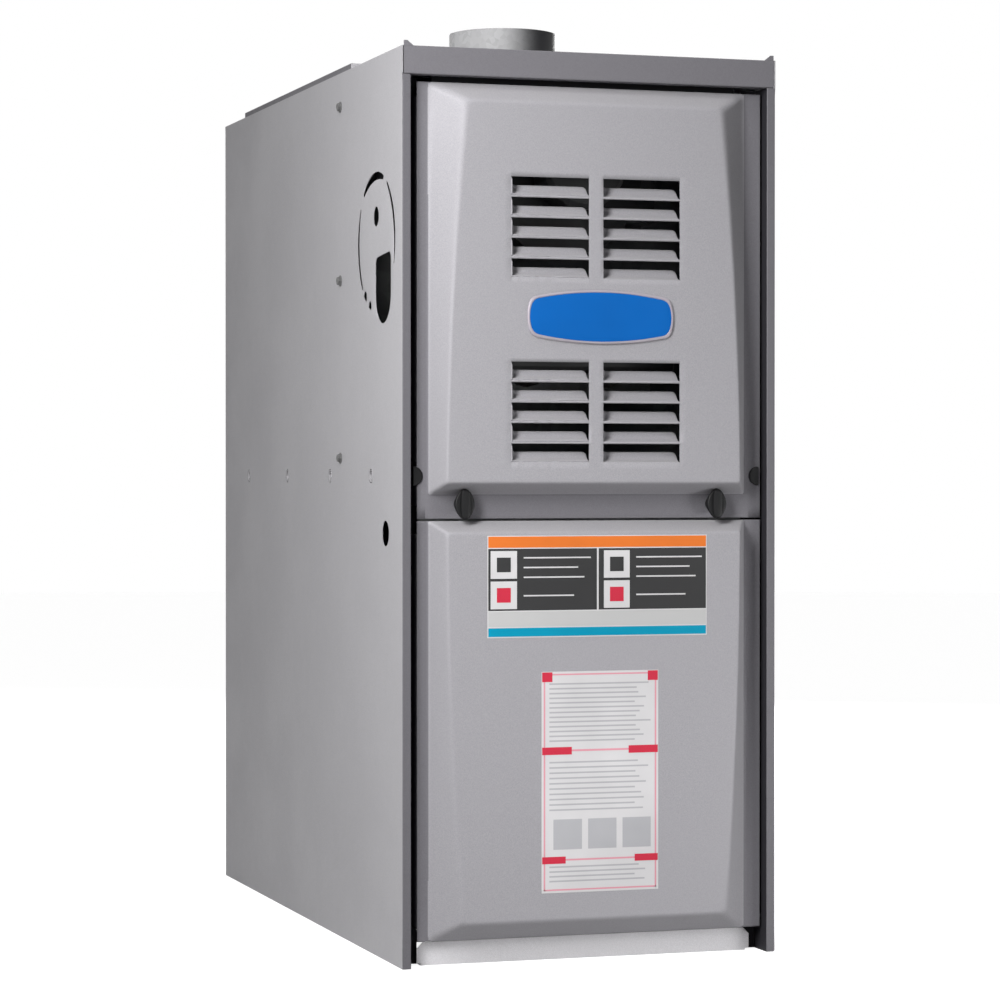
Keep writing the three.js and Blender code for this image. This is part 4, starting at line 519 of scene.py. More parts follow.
CABINET_PAINT = paint("cabinet_paint", (0.405, 0.398, 0.415))
# Painted shade: the post fronts take darker copies of the cabinet paint, the left post darker than the right.
POST_SHADE_PAINT = paint("post_shade_paint", (0.15, 0.146, 0.158))
LEFT_POST_SHADE_PAINT = paint("left_post_shade_paint", (0.135, 0.131, 0.143))
# Painted shade: a near-black copy of the paint for the posts' inner returns, where shade falls beside the
# doors.
RETURN_PAINTED_SHADE = paint("return_painted_shade", (0.025, 0.024, 0.028), 0.0)
# Painted shade: a darker copy of the cabinet paint on the top rail, its ears and the supply flanges, for the
# shade on the rail.
RAIL_PAINTED_SHADE = paint("rail_painted_shade", (0.165, 0.16, 0.174))
DOOR_PAINT = paint("door_paint", (0.322, 0.315, 0.334))
# Painted shade: a darker copy of the door paint for the doors' flanges, ledge and returned edges, shaded by
# the posts and the pan.
FLANGE_PAINTED_SHADE = paint("flange_painted_shade", (0.17, 0.165, 0.18))
# Galvanised sheet inside the cabinet, darker than bare zinc: its own tone with painted shade for the dark
# interior.
INNER_ZINC_PAINTED_SHADE = zinc("inner_zinc_painted_shade", (0.24, 0.245, 0.25), metallic=0.3, dust=0.25)
# Painted shade: the vestibule panel's zinc made dark so the interior reads as shade through the louvres.
VESTIBULE_PAINTED_SHADE = zinc("vestibule_painted_shade", (0.12, 0.122, 0.125), metallic=0.15, dust=0.2, specular=0.2)
BASE_RAIL_FINISH = paint("base_rail_finish", (0.62, 0.61, 0.63), 0.1)
# Painted shade: the collar darkens on the side away from the lamps.
COLLAR_ZINC_PAINTED_SHADE = collar_painted_shade("collar_zinc_painted_shade", (0.31, 0.31, 0.315), (0.022, 0.022, 0.024))
TUBE_STEEL = aluminised("aluminised_tube", (0.42, 0.41, 0.385))
LINER_FOIL = foil("liner_foil", (0.4, 0.4, 0.39))
KNOB_PLASTIC = moulded("knob_plastic", (0.006, 0.006, 0.0065), 0.4, 0.55, dust=0.04)
# Painted shade: a near-black, foam-like finish for the doors' sheet tongues, which stand in the shade behind
# the rail.
TONGUE_PAINTED_SHADE = moulded("tongue_painted_shade", (0.008, 0.008, 0.009), 0.8, 0.95, 300.0, 0.3, 0.02)
SWITCH_PLASTIC = moulded("switch_plastic", (0.02, 0.02, 0.022))
BLACK_PAINT = cast("black_paint", (0.025, 0.025, 0.027), 0.0, 0.35, 0.5)
GREY_CASTING = cast("grey_casting", (0.33, 0.34, 0.35), 0.65)
# Painted shade: the inducer motor's casting made near black for the shade inside the cabinet.
MOTOR_PAINTED_SHADE = cast("motor_painted_shade", (0.045, 0.046, 0.048), 0.1)
# Painted shade: near-black zinc for the collector box and vent adapter, for the shade inside the cabinet.
DARK_ZINC_PAINTED_SHADE = zinc("dark_zinc_painted_shade", (0.07, 0.07, 0.072), metallic=0.1, dust=0.1, specular=0.12)
CAN_METAL = cast("capacitor_metal", (0.5, 0.51, 0.52), 0.85, 0.25, 0.4)
BLUE_PLASTIC = moulded("blue_plastic", (0.03, 0.1, 0.3), 0.25, 0.4)
RED_PLASTIC = moulded("red_plastic", (0.5, 0.02, 0.015), 0.25, 0.4)
CERAMIC = cast("igniter_ceramic", (0.78, 0.75, 0.68), 0.0, 0.7, 0.85)
SCREW_ZINC = zinc("screw_zinc", (0.13, 0.13, 0.13), 300.0, 0.15, 0.34, 0.46, 0.05, 0.15)
HOSE_RUBBER = moulded("hose_rubber", (0.016, 0.016, 0.018), 0.55, 0.75)
BOARD_GREEN = moulded("circuit_board", (0.02, 0.12, 0.05), 0.3, 0.45)
RELAY_PLASTIC = moulded("relay_plastic", (0.05, 0.09, 0.22), 0.3, 0.45)
FUSE_AMBER = moulded("fuse_amber", (0.5, 0.2, 0.03), 0.25, 0.4)
PLUG_WHITE = moulded("plug_white", (0.6, 0.58, 0.53), 0.35, 0.5)
LAMINATION = aluminised("transformer_laminations", (0.2, 0.13, 0.08), (0.1, 0.06, 0.03))


# ---------------- Doors

def louvre_cells():
    """(left, right, bottom, top) of every louvre in the upper door."""
    cells = []
    for group_top in LOUVRE_GROUPS:
        for row in range(LOUVRE_ROWS):
            top = group_top - row * LOUVRE_PITCH
            for centre in LOUVRE_COLUMNS:
                cells.append((centre - LOUVRE_HALF, centre + LOUVRE_HALF, top - LOUVRE_HEIGHT, top))
    return cells


# Heights of each door's edge, pan, field and tongue, and the radius of its side bevels
UPPER_DOOR = {
    "bottom": 412.5, "top": 814.5, "pan": (435, 814.5), "field": (445.5, 797), "arc": 3680,
    "tongue": (811, 824), "louvres": louvre_cells(),
}
LOWER_DOOR = {
    "bottom": 23, "top": 410.5, "pan": (23, 410.5), "field": (40, 400), "arc": 5000,
    "tongue": (10, 23), "louvres": [],
}


def field_half(door, z):
    """Half the width of a door's field at a height."""
    z = min(max(z, door["field"][0]), door["field"][1])
    fall = z - FIELD_WIDEST
    return FIELD_HALF - (door["arc"] - math.sqrt(door["arc"] ** 2 - fall ** 2))


def soft_least(a, b, blur=0.3):
    """The smaller of two values, rounded where they are close."""
    return min(a, b) - max(blur - abs(a - b), 0) ** 2 / (4 * blur)


def eased(share, blur):
    """A slope from 0 to 1 with rounded ends."""
    if share < blur:
        return max(share + blur, 0) ** 2 / (4 * blur)
    if share > 1 - blur:
        return 1 - max(1 + blur - share, 0) ** 2 / (4 * blur)
    return share


def pan_rise(door, x, z):
    """How far the pressed pan stands out of the door's flange."""
    low, high = door["pan"]
    field_low, field_high = door["field"]
    side = (BEVEL_FOOT - abs(x)) / (BEVEL_FOOT - field_half(door, z))
    top = (high - z) / (high - field_high)
    bottom = (z - low) / (field_low - low)
    share = soft_least(side, soft_least(top, bottom))
    return (DOOR_FLANGE - DOOR_FIELD) * eased(share, 0.13)


def door_columns():
    """Where the columns of a door's grid stand, from its middle outwards, as a rule for a height."""
    inner = [0, 3.5, 7, 7.4, 8, 9, 11, 13, 15, 21, 27, 33, 39, 45, 51, 57, 63, 69, 75, 77, 79, 81,
             82, 82.6, 83, 90, 98, 106, 112]
    rules = [lambda half, x=x: x for x in inner]
    rules += [lambda half, gap=gap: half - gap for gap in (9, 6, 4, 3, 2, 1)]
    rules += [lambda half, i=i: ramp(half, BEVEL_FOOT, i / 14) for i in range(15)]
    return rules


def flange_columns(edge):
    """Columns across the flange, from the pan's foot to the door's edge."""
    return [ramp(BEVEL_FOOT, edge, share) for share in (0.05, 0.13, 0.24, 0.42, 0.64, 0.86, 0.94, 1)]


def door_rows(door):
    """Heights of the rows of a door's grid, with none inside a louvre."""
    low, high = door["pan"]
    field_low, field_high = door["field"]
    rows = {door["bottom"], door["top"], door["bottom"] + CORNER_NOTCH, door["top"] - CORNER_NOTCH}
    rows |= {ramp(low, field_low, i / 12) for i in range(-2, 15)}
    rows |= {ramp(field_high, high, i / 14) for i in range(-2, 15)}
    rows |= {z for _, _, bottom, top in door["louvres"] for z in (bottom, top)}
    rows |= {ramp(field_low + 4, field_high - 4, i / 40) for i in range(41)}
    blocked = [(bottom, top) for _, _, bottom, top in door["louvres"]]
    kept = []
    for z in sorted(rows):
        inside = any(bottom + 0.05 < z < top - 0.05 for bottom, top in blocked)
        close = kept and z - kept[-1] < 0.3
        if door["bottom"] <= z <= door["top"] and not inside and not close:
            kept.append(z)
    kept[-1] = door["top"]
    return kept


def louvre_blade(cell):
    """A louvre's blade, bent inwards from its root: drawn closed at its left end, free at its right."""
    left, right, bottom, top = cell
    rise = LOUVRE_HEIGHT - LOUVRE_MOUTH
    across = [left + gap for gap in (0, 0.3, 0.8, 1.5, 2.4, 3.5, 5, 6.5, 8, 12, 18, 26, 38)]
    across += [right - gap for gap in (30, 22, 16, 10, 6.5, 4.5, 3, 1.8, 0.9, 0.3, 0)]
    points = []
    for step in range(9):
        for x in across:
            drawn = max(1 - (x - left) / LOUVRE_CLOSED_END, 0)
            depth = LOUVRE_DEPTH * math.sqrt(1 - drawn ** 2)
            gap = max(LOUVRE_CORNER - (right - x), 0)
            height = rise - LOUVRE_CORNER + math.sqrt(LOUVRE_CORNER ** 2 - gap ** 2)
            angle = step / 8 * math.acos(1 - height / rise)
            lip = ramp(top - bottom, rise, math.sqrt(1 - drawn ** 2))
            points.append((x, DOOR_FIELD + depth * math.sin(angle), bottom + lip * (1 - math.cos(angle))))
    return points, grid_faces(9, len(across))


def door_skin(name, door, finish):
    """A pressed door: pan, flange, returned edges, louvres, and the tongue that holds its far edge."""
    rules = door_columns()
    rows = door_rows(door)
    left_edge, right_edge = DOOR_EDGES
    points = []
    for z in rows:
        inner = [rule(field_half(door, z)) for rule in rules]
        right = inner + flange_columns(right_edge)
        left = inner[1:] + flange_columns(-left_edge)
        across = [-x for x in left[::-1]] + right
        points += [(x, DOOR_FLANGE - pan_rise(door, x, z), z) for x in across]
    count = len(across)

    def in_louvre(row, column):
        first, last = points[row * count + column], points[(row + 1) * count + column + 1]
        x, z = (first[0] + last[0]) / 2, (first[2] + last[2]) / 2
        return any(left < x < right and bottom < z < top for left, right, bottom, top in door["louvres"])

    parts = [(points, grid_faces(len(rows), count, in_louvre))]
    for x in DOOR_EDGES:
        heights = [z for z in rows if door["bottom"] + CORNER_NOTCH <= z <= door["top"] - CORNER_NOTCH]
        strip = [(x, y, z) for y in (DOOR_FLANGE, DOOR_RETURN_END) for z in heights]
        parts.append((strip, grid_faces(2, len(heights))))
    for row, z in ((0, door["bottom"]), (len(rows) - 1, door["top"])):
        edge = [point for point in points[row * count:(row + 1) * count] if abs(point[0]) < 160.5]
        strip = edge + [(x, DOOR_RETURN_END, z) for x, _, _ in edge]
        parts.append((strip, grid_faces(2, len(edge))))
    parts += [louvre_blade(cell) for cell in door["louvres"]]
    skin = make_piece(name + "_skin", *merged(*parts), name, finish, "painted_steel", (name,))
    face_towards(skin, (0, -1, 0))
    # Painted shade: faces at the flange plane and behind it take the darker flange paint.
    skin.data.materials.append(FLANGE_PAINTED_SHADE)
    for polygon in skin.data.polygons:
        x, y, z = polygon.center * 1000
        if y > DOOR_FLANGE - 0.6 and z > door["pan"][0] - 25:
            polygon.material_index = 1
    fold_edges(skin, 1.3, 50, 3)
    thicken(skin)
    # Painted shade: the sheet tongue is coloured near black for the shaded gap under the rail.
    low, high = door["tongue"]
    tongue = box_part((-TONGUE_HALF, TONGUE_FRONT, low), (TONGUE_HALF, TONGUE_FRONT + SHEET, high))
    fold_edges(make_piece(name + "_tongue", *tongue, name, TONGUE_PAINTED_SHADE, "black_rubber", smooth=False), 0.4)


def flange_buffers():
    """Half-round black buffers at the edges of the upper door's flange, above the ledge."""
    parts = []
    for side in (-1, 1):
        rings = []
        for y, radius in ((-344.6, 9), (-346.2, 9), (-346.9, 8.4), (-347.2, 7)):
            arc = circle(0, 0, radius, 16, -90, 90)
            rings.append([(side * (BUFFER_X - a), y, BUFFER_Z + b) for a, b in arc])
        parts.append(lofted(rings))
    crisp(make_piece("flange_buffers", *merged(*parts), "upper_door", KNOB_PLASTIC, "black_rubber"), 50)


door_skin("upper_door", UPPER_DOOR, DOOR_PAINT)
door_skin("lower_door", LOWER_DOOR, DOOR_PAINT)
flange_buffers()


# ---------------- Side panels

KNOCKOUT = (-267, 672)
KNOCKOUT_RADIUS = 66
GAS_OPENING = (-291, 627.5, 27, 33)  # centre, half width and half height
REAR_FLANGE = 12
CABLE_HOLE = (-299.5, 398.5, 12)
VENT_HOLE = (-267, 696, 9.5)
DIMPLES = [(y, 452) for y in (-248, -96, 78, 252)]
KNOCKOUT_SLOTS = (  # start and end in degrees, and width
    (66, 134, 8.2), (147, 222, 6.9), (227, 238, 9), (245, 255, 8), (-22, 57, 6.9))


def knockout_slots():
    """Lanced slots round the knock-out disc, widest at the top where the disc is pressed in."""
    slots = []
    for start, end, width in KNOCKOUT_SLOTS:
        outer, inner = [], []
        for i in range(17):
            angle = math.radians(ramp(start, end, i / 16))
            y, z = math.cos(angle), math.sin(angle)
            narrow = KNOCKOUT_RADIUS - width * math.sin(math.pi * (i + 1.5) / 19) ** 0.5
            outer.append((KNOCKOUT[0] - KNOCKOUT_RADIUS * y, KNOCKOUT[1] + KNOCKOUT_RADIUS * z))
            inner.append((KNOCKOUT[0] - narrow * y, KNOCKOUT[1] + narrow * z))
        slots.append(outer + inner[::-1])
    return slots


def gas_outline():
    """Gas pipe opening: round below, with a slanted top."""
    y, z, half_width, half_height = GAS_OPENING
    rise = half_height - half_width
    corner = 7
    bottom = circle(y, z - rise, half_width, 24, 180, 360)
    front_top = circle(y - half_width + corner, z + half_height - corner, corner, 6, 180, 90)
    rear_top = circle(y + half_width - corner, z + half_height - corner - 3, corner, 6, 90, 0)
    return bottom + (rear_top[::-1] + front_top[::-1])


def flat_with_holes(outline, holes, dents=()):
    """Triangles of a flat sheet in (y, z) with holes cut out and round dents pressed in."""
    points, edges, depth = [], [], {}

    def add_loop(loop):
        first = len(points)
        points.extend(Vector(point) for point in loop)
        edges.extend((first + i, first + (i + 1) % len(loop)) for i in range(len(loop)))
        return list(range(first, first + len(loop)))

    outer = add_loop(outline)
    hole_loops = [add_loop(hole) for hole in holes]
    for y, z in dents:
        for radius in (7, 6, 5, 4, 3, 2, 1):
            for index in add_loop(circle(y, z, radius, 20)):
                depth[index] = 1.3 * (0.5 + 0.5 * math.cos(math.pi * radius / 7))
        depth[len(points)] = 1.3
        points.append(Vector((y, z)))
    verts, _, faces, origin, _, _ = delaunay_2d_cdt(points, edges, [outer], 2, 1e-5)
    back = {index: depth.get(sources[0], 0) if sources else 0 for index, sources in enumerate(origin)}

    def inside(loop, y, z):
        crossings = False
        for i in range(len(loop)):
            (y0, z0), (y1, z1) = loop[i], loop[i - 1]
            if (z0 > z) != (z1 > z) and y < (y1 - y0) * (z - z0) / (z1 - z0) + y0:
                crossings = not crossings
        return crossings

    kept = []
    for face in faces:
        y = sum(verts[i][0] for i in face) / len(face)
        z = sum(verts[i][1] for i in face) / len(face)
        if not any(inside(hole, y, z) for hole in holes):
            kept.append(tuple(face))
    return [(v[0], v[1], back[i]) for i, v in enumerate(verts)], kept


def side_skin(name, side):
    """Side panel with its front post, stop flange and back flange folded inwards."""
    front, back = CABINET_FRONT, CABINET_BACK
    outline = [(front, 0), (back, 0), (back, CABINET_HEIGHT), (front, CABINET_HEIGHT), (front, POST_TOP)]
    holes = knockout_slots() + [gas_outline(), circle(*CABLE_HOLE, 32), circle(*VENT_HOLE, 28)]
    flat, faces = flat_with_holes(outline, holes, DIMPLES)
    x = side * CABINET_HALF
    panel = ([(x - side * dent, y, z) for y, z, dent in flat], faces)
    path = [(CABINET_HALF, front), (POST_EDGE, front), (POST_EDGE, STOP_FLANGE),
            (STOP_FLANGE_EDGE, STOP_FLANGE)]
    strips = ([(side * a, b, z) for z in (0, POST_TOP) for a, b in path], grid_faces(2, len(path)))
    rear_edges = (CABINET_HALF, CABINET_HALF - REAR_FLANGE)
    rear = ([(side * a, back, z) for z in (0, CABINET_HEIGHT) for a in rear_edges], grid_faces(2, 2))
    folded = merged(panel, strips, rear)
    skin = make_piece(name + "_skin", *folded, "cabinet", CABINET_PAINT, "painted_steel", (name,))
    # Painted shade on the post fronts, darker on the left post.
    skin.data.materials.append(POST_SHADE_PAINT if side > 0 else LEFT_POST_SHADE_PAINT)
    # Painted shade: near black on the inner returns.
    skin.data.materials.append(RETURN_PAINTED_SHADE)
    face_towards(skin, (side, 0, 0))
    # Post fronts get the painted-shade post paint, and inner returns the near-black painted-shade return
    # paint.
    for polygon in skin.data.polygons:
        x, y, _ = polygon.center * 1000
        if abs(x) < CABINET_HALF - 0.5 and y < STOP_FLANGE + 0.5:
            polygon.material_index = 1 if y < front + 0.5 else 2
    fold_edges(skin, 1.2, 60, 3)
    thicken(skin)
    flat_lit(skin)


side_skin("left_panel", -1)
side_skin("right_panel", 1)


# ---------------- Top rail and screws

def top_rail():
    """Folded rail over the upper door, with a small upright ear at each end."""
    half = CABINET_HALF - 1.6
    path = [(CABINET_FRONT + 20, CABINET_HEIGHT), (CABINET_FRONT, CABINET_HEIGHT), (CABINET_FRONT, 820),
            (CABINET_FRONT + 12, 820)]
    sheet = ([(x, y, z) for x in (-half, half) for y, z in path], grid_faces(2, len(path)))
    rail = make_piece("top_rail_sheet", *sheet, "cabinet", RAIL_PAINTED_SHADE, "painted_steel", ("top_rail",))
    face_towards(rail, (0, -1, 0.1))
    fold_edges(rail, 1.2, 60, 3)
    thicken(rail)
    flat_lit(rail)
    ears = []
    for side in (-1, 1):
        outline = [(side * half, 845.4), (side * half, 850.6), (side * (half - 3.5), 850.6),
                   (side * (half - 6), 848.5), (side * (half - 10), 845.4)]
        rings = [[(x, y, z) for x, z in outline] for y in (CABINET_FRONT, CABINET_FRONT + SHEET)]
        ears.append(lofted(rings))
    fold_edges(make_piece("top_rail_ears", *merged(*ears), "cabinet", RAIL_PAINTED_SHADE, "painted_steel",
                          smooth=False), 0.4)


def screw_head(place, axis, outward):
    """A hexagon screw head on its pressed washer."""
    washer = turned([(5.4, 0), (5.5, 0.5), (5.1, 1.0), (4.3, 1.2)], place, axis, 24)
    hexagon = turned([(4.3, 0.9), (4.3, 3.0), (3.8, 3.5), (2.6, 3.5), (2.2, 3.1), (0.1, 3.0)], place, axis, 6)
    points, faces = merged(washer, hexagon)
    index = "xyz".index(axis)
    flipped = []
    for point in points:
        point = list(point)
        point[index] = place[index] + outward * (point[index] - place[index])
        flipped.append(tuple(point))
    return flipped, faces


def screws(name, places, axis, outward):
    parts = [screw_head(place, axis, outward) for place in places]
    crisp(make_piece(name, *merged(*parts), "cabinet", SCREW_ZINC, "galvanised_steel"), 35)


def cabinet_screws():
    for side, name in ((-1, "left"), (1, "right")):
        screws("screws_" + name, [(side * CABINET_HALF, -137.3, z) for z in (813, 643, 469.5)], "x", side)
    reach = 0.7 * 57
    top = [(x, -262, TOP_SKIN) for x in (-135, 135)] + [(x, -150, TOP_SKIN) for x in (-135, 30, 135)]
    flue = [(FLUE_CENTRE[0] + a, FLUE_CENTRE[1] + b, CABINET_HEIGHT)
            for a, b in ((reach, reach), (-reach, reach), (reach, -reach), (-reach, -reach))]
    screws("screws_top", top + flue, "z", 1)
    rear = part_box("back_panel")[1][1] * 1000
    sides = [(x, rear, z) for x in (-160, 160) for z in (70, 240, 410, 580, 750)]
    screws("screws_back", sides + [(x, rear, z) for x in (-60, 60) for z in (30, 815)], "y", 1)


top_rail()
cabinet_screws()


# ---------------- Knobs

def oval_ring(x, y, width, length, squareness, sides=48):
    """An oval round a knob's axis; a squareness of 2 is an ellipse."""
    ring = []
    for side in range(sides):
        angle = 2 * math.pi * side / sides
        c, s = math.cos(angle), math.sin(angle)
        reach = (abs(c) ** squareness + abs(s) ** squareness) ** (-1 / squareness)
        ring.append((x + width / 2 * c * reach, ramp(KNOB_FOOT, y, 0.7),
                     KNOB_Z - 1 + length * 0.46 * s * reach))
    return ring


def knob_piece(name, side):
    """Knob with a spreading head, a grip across it and the shank that goes through the ledge."""
    x = side * KNOB_X
    stations = [
        (KNOB_FOOT, 14.6, 14.6, 2), (-347, 15.4, 15.4, 2), (-350, 16, 18, 2), (-355, 17.6, 24, 1.9),
        (-359, 18.6, 28.6, 1.8), (-361.4, 19, 31, 1.75), (-362.6, 19, 31, 1.75), (-363.4, 18.2, 30.2, 1.75),
        (-363.8, 16.8, 28.8, 1.75), (-363.8, 13, 24, 1.75),
    ]
    head = lofted([oval_ring(x, *station) for station in stations])
    grip_stations = [(-363.2, 9.6, 29.4), (-365.6, 9.2, 28.4), (-366.6, 8.4, 27.4), (-367, 7, 26)]
    grip = lofted([oval_ring(x, y, width, length, 3.4) for y, width, length in grip_stations])
    shank = lofted([[(x + 4 * math.cos(turn), y, KNOB_Z + 4 * math.sin(turn))
                     for turn in (2 * math.pi * i / 24 for i in range(24))] for y in (-346, -338.8)])
    knob = merged(head, grip, shank)
    crisp(make_piece(name + "_moulding", *knob, name, KNOB_PLASTIC, "black_plastic", (name,)), 35)


knob_piece("knob_left", -1)
knob_piece("knob_right", 1)


# ---------------- Flue collar

def flue_collar():
    """Collar with its foot flange, bead, hemmed rim and lapped seam."""
    profile = [(FLUE_RADIUS + out, z) for out, z in (
        (-1.2, 837.3), (0, 837.3), (0, 844.8), (0.6, 845.2), (9.6, 845.2), (10, 845.5), (9.6, 846),
        (2, 846), (0.7, 846.5), (0, 848), (0, 853.2), (0.9, 854.2), (1.2, 855.4), (0.9, 856.6),
        (0, 857.6), (0, 875.7), (-0.3, 876.3), (-0.9, 876.3), (-1.2, 875.7), (-1.2, 857.6),
        (-0.4, 856.6), (-0.1, 855.4), (-0.4, 854.2), (-1.2, 853.2), (-1.2, 837.3))]
    ring = turned(profile, (*FLUE_CENTRE, 0), "z", 96)
    crisp(make_piece("flue_collar_ring", *ring, "cabinet", COLLAR_ZINC_PAINTED_SHADE, "galvanised_steel",
                     ("flue_collar",)), 50)
    seam = []
    for i in range(7):
        angle = math.radians(178 + i * 1.6)
        for reach in (FLUE_RADIUS + 0.1, FLUE_RADIUS + 0.75):
            seam.append((FLUE_CENTRE[0] + reach * math.cos(angle), FLUE_CENTRE[1] + reach * math.sin(angle)))
    rings = [[(x, y, z) for x, y in seam[1::2] + seam[0::2][::-1]] for z in (846.2, 876)]
    make_piece("flue_collar_seam", *lofted(rings), "cabinet", COLLAR_ZINC_PAINTED_SHADE, "galvanised_steel", smooth=False)


flue_collar()


# ---------------- Badge plate and stickers

BADGE_BLUE = plate_finish("badge_blue", (0.001, 0.105, 0.4), 0.3)
BADGE_RIM = plate_finish("badge_rim", (0.36, 0.33, 0.37), 0.35, 0.2)
STICKER_WHITE = plate_finish("sticker_white", (0.62, 0.61, 0.62), 0.4)
STICKER_PALE = plate_finish("sticker_pale", (0.5, 0.5, 0.5), 0.4)
STICKER_ORANGE = plate_finish("sticker_orange", (0.68, 0.17, 0.03), 0.35)
STICKER_DARK = plate_finish("sticker_dark", (0.035, 0.035, 0.036), 0.35)
STICKER_TEAL = plate_finish("sticker_teal", (0.0, 0.27, 0.42), 0.35)
STICKER_RED = plate_finish("sticker_red", (0.55, 0.03, 0.06), 0.4)
STICKER_PINK = plate_finish("sticker_pink", (0.68, 0.3, 0.36), 0.4)
STICKER_RULE = plate_finish("sticker_rule", (0.42, 0.42, 0.44), 0.4)


def barrel_ring(middle, width, height, bulge, y, rounding=5, sides=14):
    """A rectangle with bowed edges and small rounded corners, in a plane of the door."""
    corners = [(-1, -1), (1, -1), (1, 1), (-1, 1)]

    def edge_point(edge, share):
        (a, b), (c, d) = corners[edge % 4], corners[(edge + 1) % 4]
        upright = a == c
        if share is None:
            share = rounding / (height if upright else width)
        elif share:
            cut = rounding / (height if upright else width)
            share = ramp(cut, 1 - cut, share)
        bow = bulge * 4 * share * (1 - share)
        x = ramp(a, c, share) * width / 2 + (a * bow * 0.55 if upright else 0)
        z = ramp(b, d, share) * height / 2 + (0 if upright else b * bow)
        return Vector((middle[0] + x, y, middle[1] + z))

    ring = []
    for edge in range(4):
        ring += [edge_point(edge, None)] + [edge_point(edge, (step + 1) / sides) for step in range(sides)]
        last, corner, after = ring[-1], edge_point(edge + 1, 0), edge_point(edge + 1, None)
        ring += [(1 - t) ** 2 * last + 2 * t * (1 - t) * corner + t ** 2 * after for t in (0.25, 0.5, 0.75)]
    return [tuple(point) for point in ring]


def badge():
    """A bare plate in its rim, from rings of (width, height off the door)."""
    for name, finish, slot, sizes in (
            ("badge_rim", BADGE_RIM, "painted_steel",
             ((136, 0), (136, 1.6), (134.6, 2.2), (132.4, 2.2), (131.8, 1.7))),
            ("badge_plate", BADGE_BLUE, "blue_plastic",
             ((131.9, 1.2), (131.4, 1.9), (129, 2.1), (116, 2.3)))):
        rings = [barrel_ring((4.3, 599.5), width, width - 100, 7, DOOR_FIELD - lift) for width, lift in sizes]
        crisp(make_piece(name, *lofted(rings), "upper_door", finish, slot), 50)


# How far stickers and their print stand off the door, and how far they reach into it
SHEET_LIFT, PRINT_LIFT, BLOCK_LIFT = 0.25, 0.32, 0.38
SHEET_SUNK, PRINT_SUNK = 0.3, 0.1


def printed(name, marks, finish, lift, sunk=PRINT_SUNK):
    """Thin sheets or marks on the lower door's field, each given by two corners (x, z)."""
    parts = [box_part((low[0], DOOR_FIELD - lift, low[1]), (high[0], DOOR_FIELD + sunk, high[1]))
             for low, high in marks]
    make_piece(name, *merged(*parts), "lower_door", finish, "painted_steel", smooth=False)


def upper_sticker():
    left, right = -105.2, 109.2
    printed("upper_sticker_sheet", [((-106, 303), (110, 397))], STICKER_WHITE, SHEET_LIFT, SHEET_SUNK)
    for name, low, high, finish in (
            ("head", (left, 386), (right, 396.3), STICKER_ORANGE),
            ("panel_left", (left, 328), (0.6, 385), STICKER_DARK),
            ("panel_right", (2.4, 328), (right, 385), STICKER_DARK),
            ("foot", (left, 304), (right, 312), STICKER_TEAL),
            ("strip", (left, 313), (right, 327), STICKER_PALE)):
        printed("upper_sticker_" + name, [(low, high)], finish, PRINT_LIFT, SHEET_SUNK)
    squares, red, dark = [], [], []
    for left in (-103, 7.5):
        for low in (329.5, 357.5):
            squares.append(((left, low), (left + 25.5, low + 25.5)))
            (red if low < 350 else dark).append(((left + 6, low + 6), (left + 19.5, low + 19.5)))
        for low in (341, 358, 367, 376):
            squares.append(((left + 32, low), (left + 90 - 9 * math.sin(low), low + 1.3)))
    printed("upper_sticker_squares", squares, STICKER_WHITE, BLOCK_LIFT)
    printed("upper_sticker_red_blocks", red, STICKER_RED, 0.44)
    printed("upper_sticker_dark_blocks", dark, STICKER_DARK, 0.44)


def lower_sticker():
    left, right, bottom, top = -51.5, 59.5, 68, 269
    printed("lower_sticker_sheet", [((-53.5, 66), (61.5, 271))], STICKER_WHITE, SHEET_LIFT, SHEET_SUNK)
    printed("lower_sticker_border", [
        ((left, 267.6), (right, top)), ((left, bottom), (right, 69.4)), ((left, bottom), (-50, top)),
        ((58, bottom), (right, top)), ((left, 196.8), (right, 198.6)), ((left, 95.6), (right, 97.2)),
    ], STICKER_PINK, PRINT_LIFT)
    printed("lower_sticker_red_ends", [
        ((-53, 261.5), (-43, 270.5)), ((51, 261.5), (61, 270.5)), ((-53, 194), (-24, 201)),
        ((32, 194), (61, 201)), ((-53, 93), (-30, 99.5)), ((38, 93), (61, 99.5)),
    ], STICKER_RED, BLOCK_LIFT)
    lines = []
    for low, high, step in ((206, 259, 4.4), (142, 191, 4.9), (76, 90, 4.4)):
        z = low
        while z < high:
            lines.append(((-46, z), (54 - 16 * abs(math.sin(z * 1.7)), z + 1.5)))
            z += step
    lines += [((x, 106), (x + 28, 134)) for x in (-42, -8, 26)]
    printed("lower_sticker_rules", lines, STICKER_RULE, 0.3)


badge()
upper_sticker()
lower_sticker()


# ---------------- CAD nodes that stay

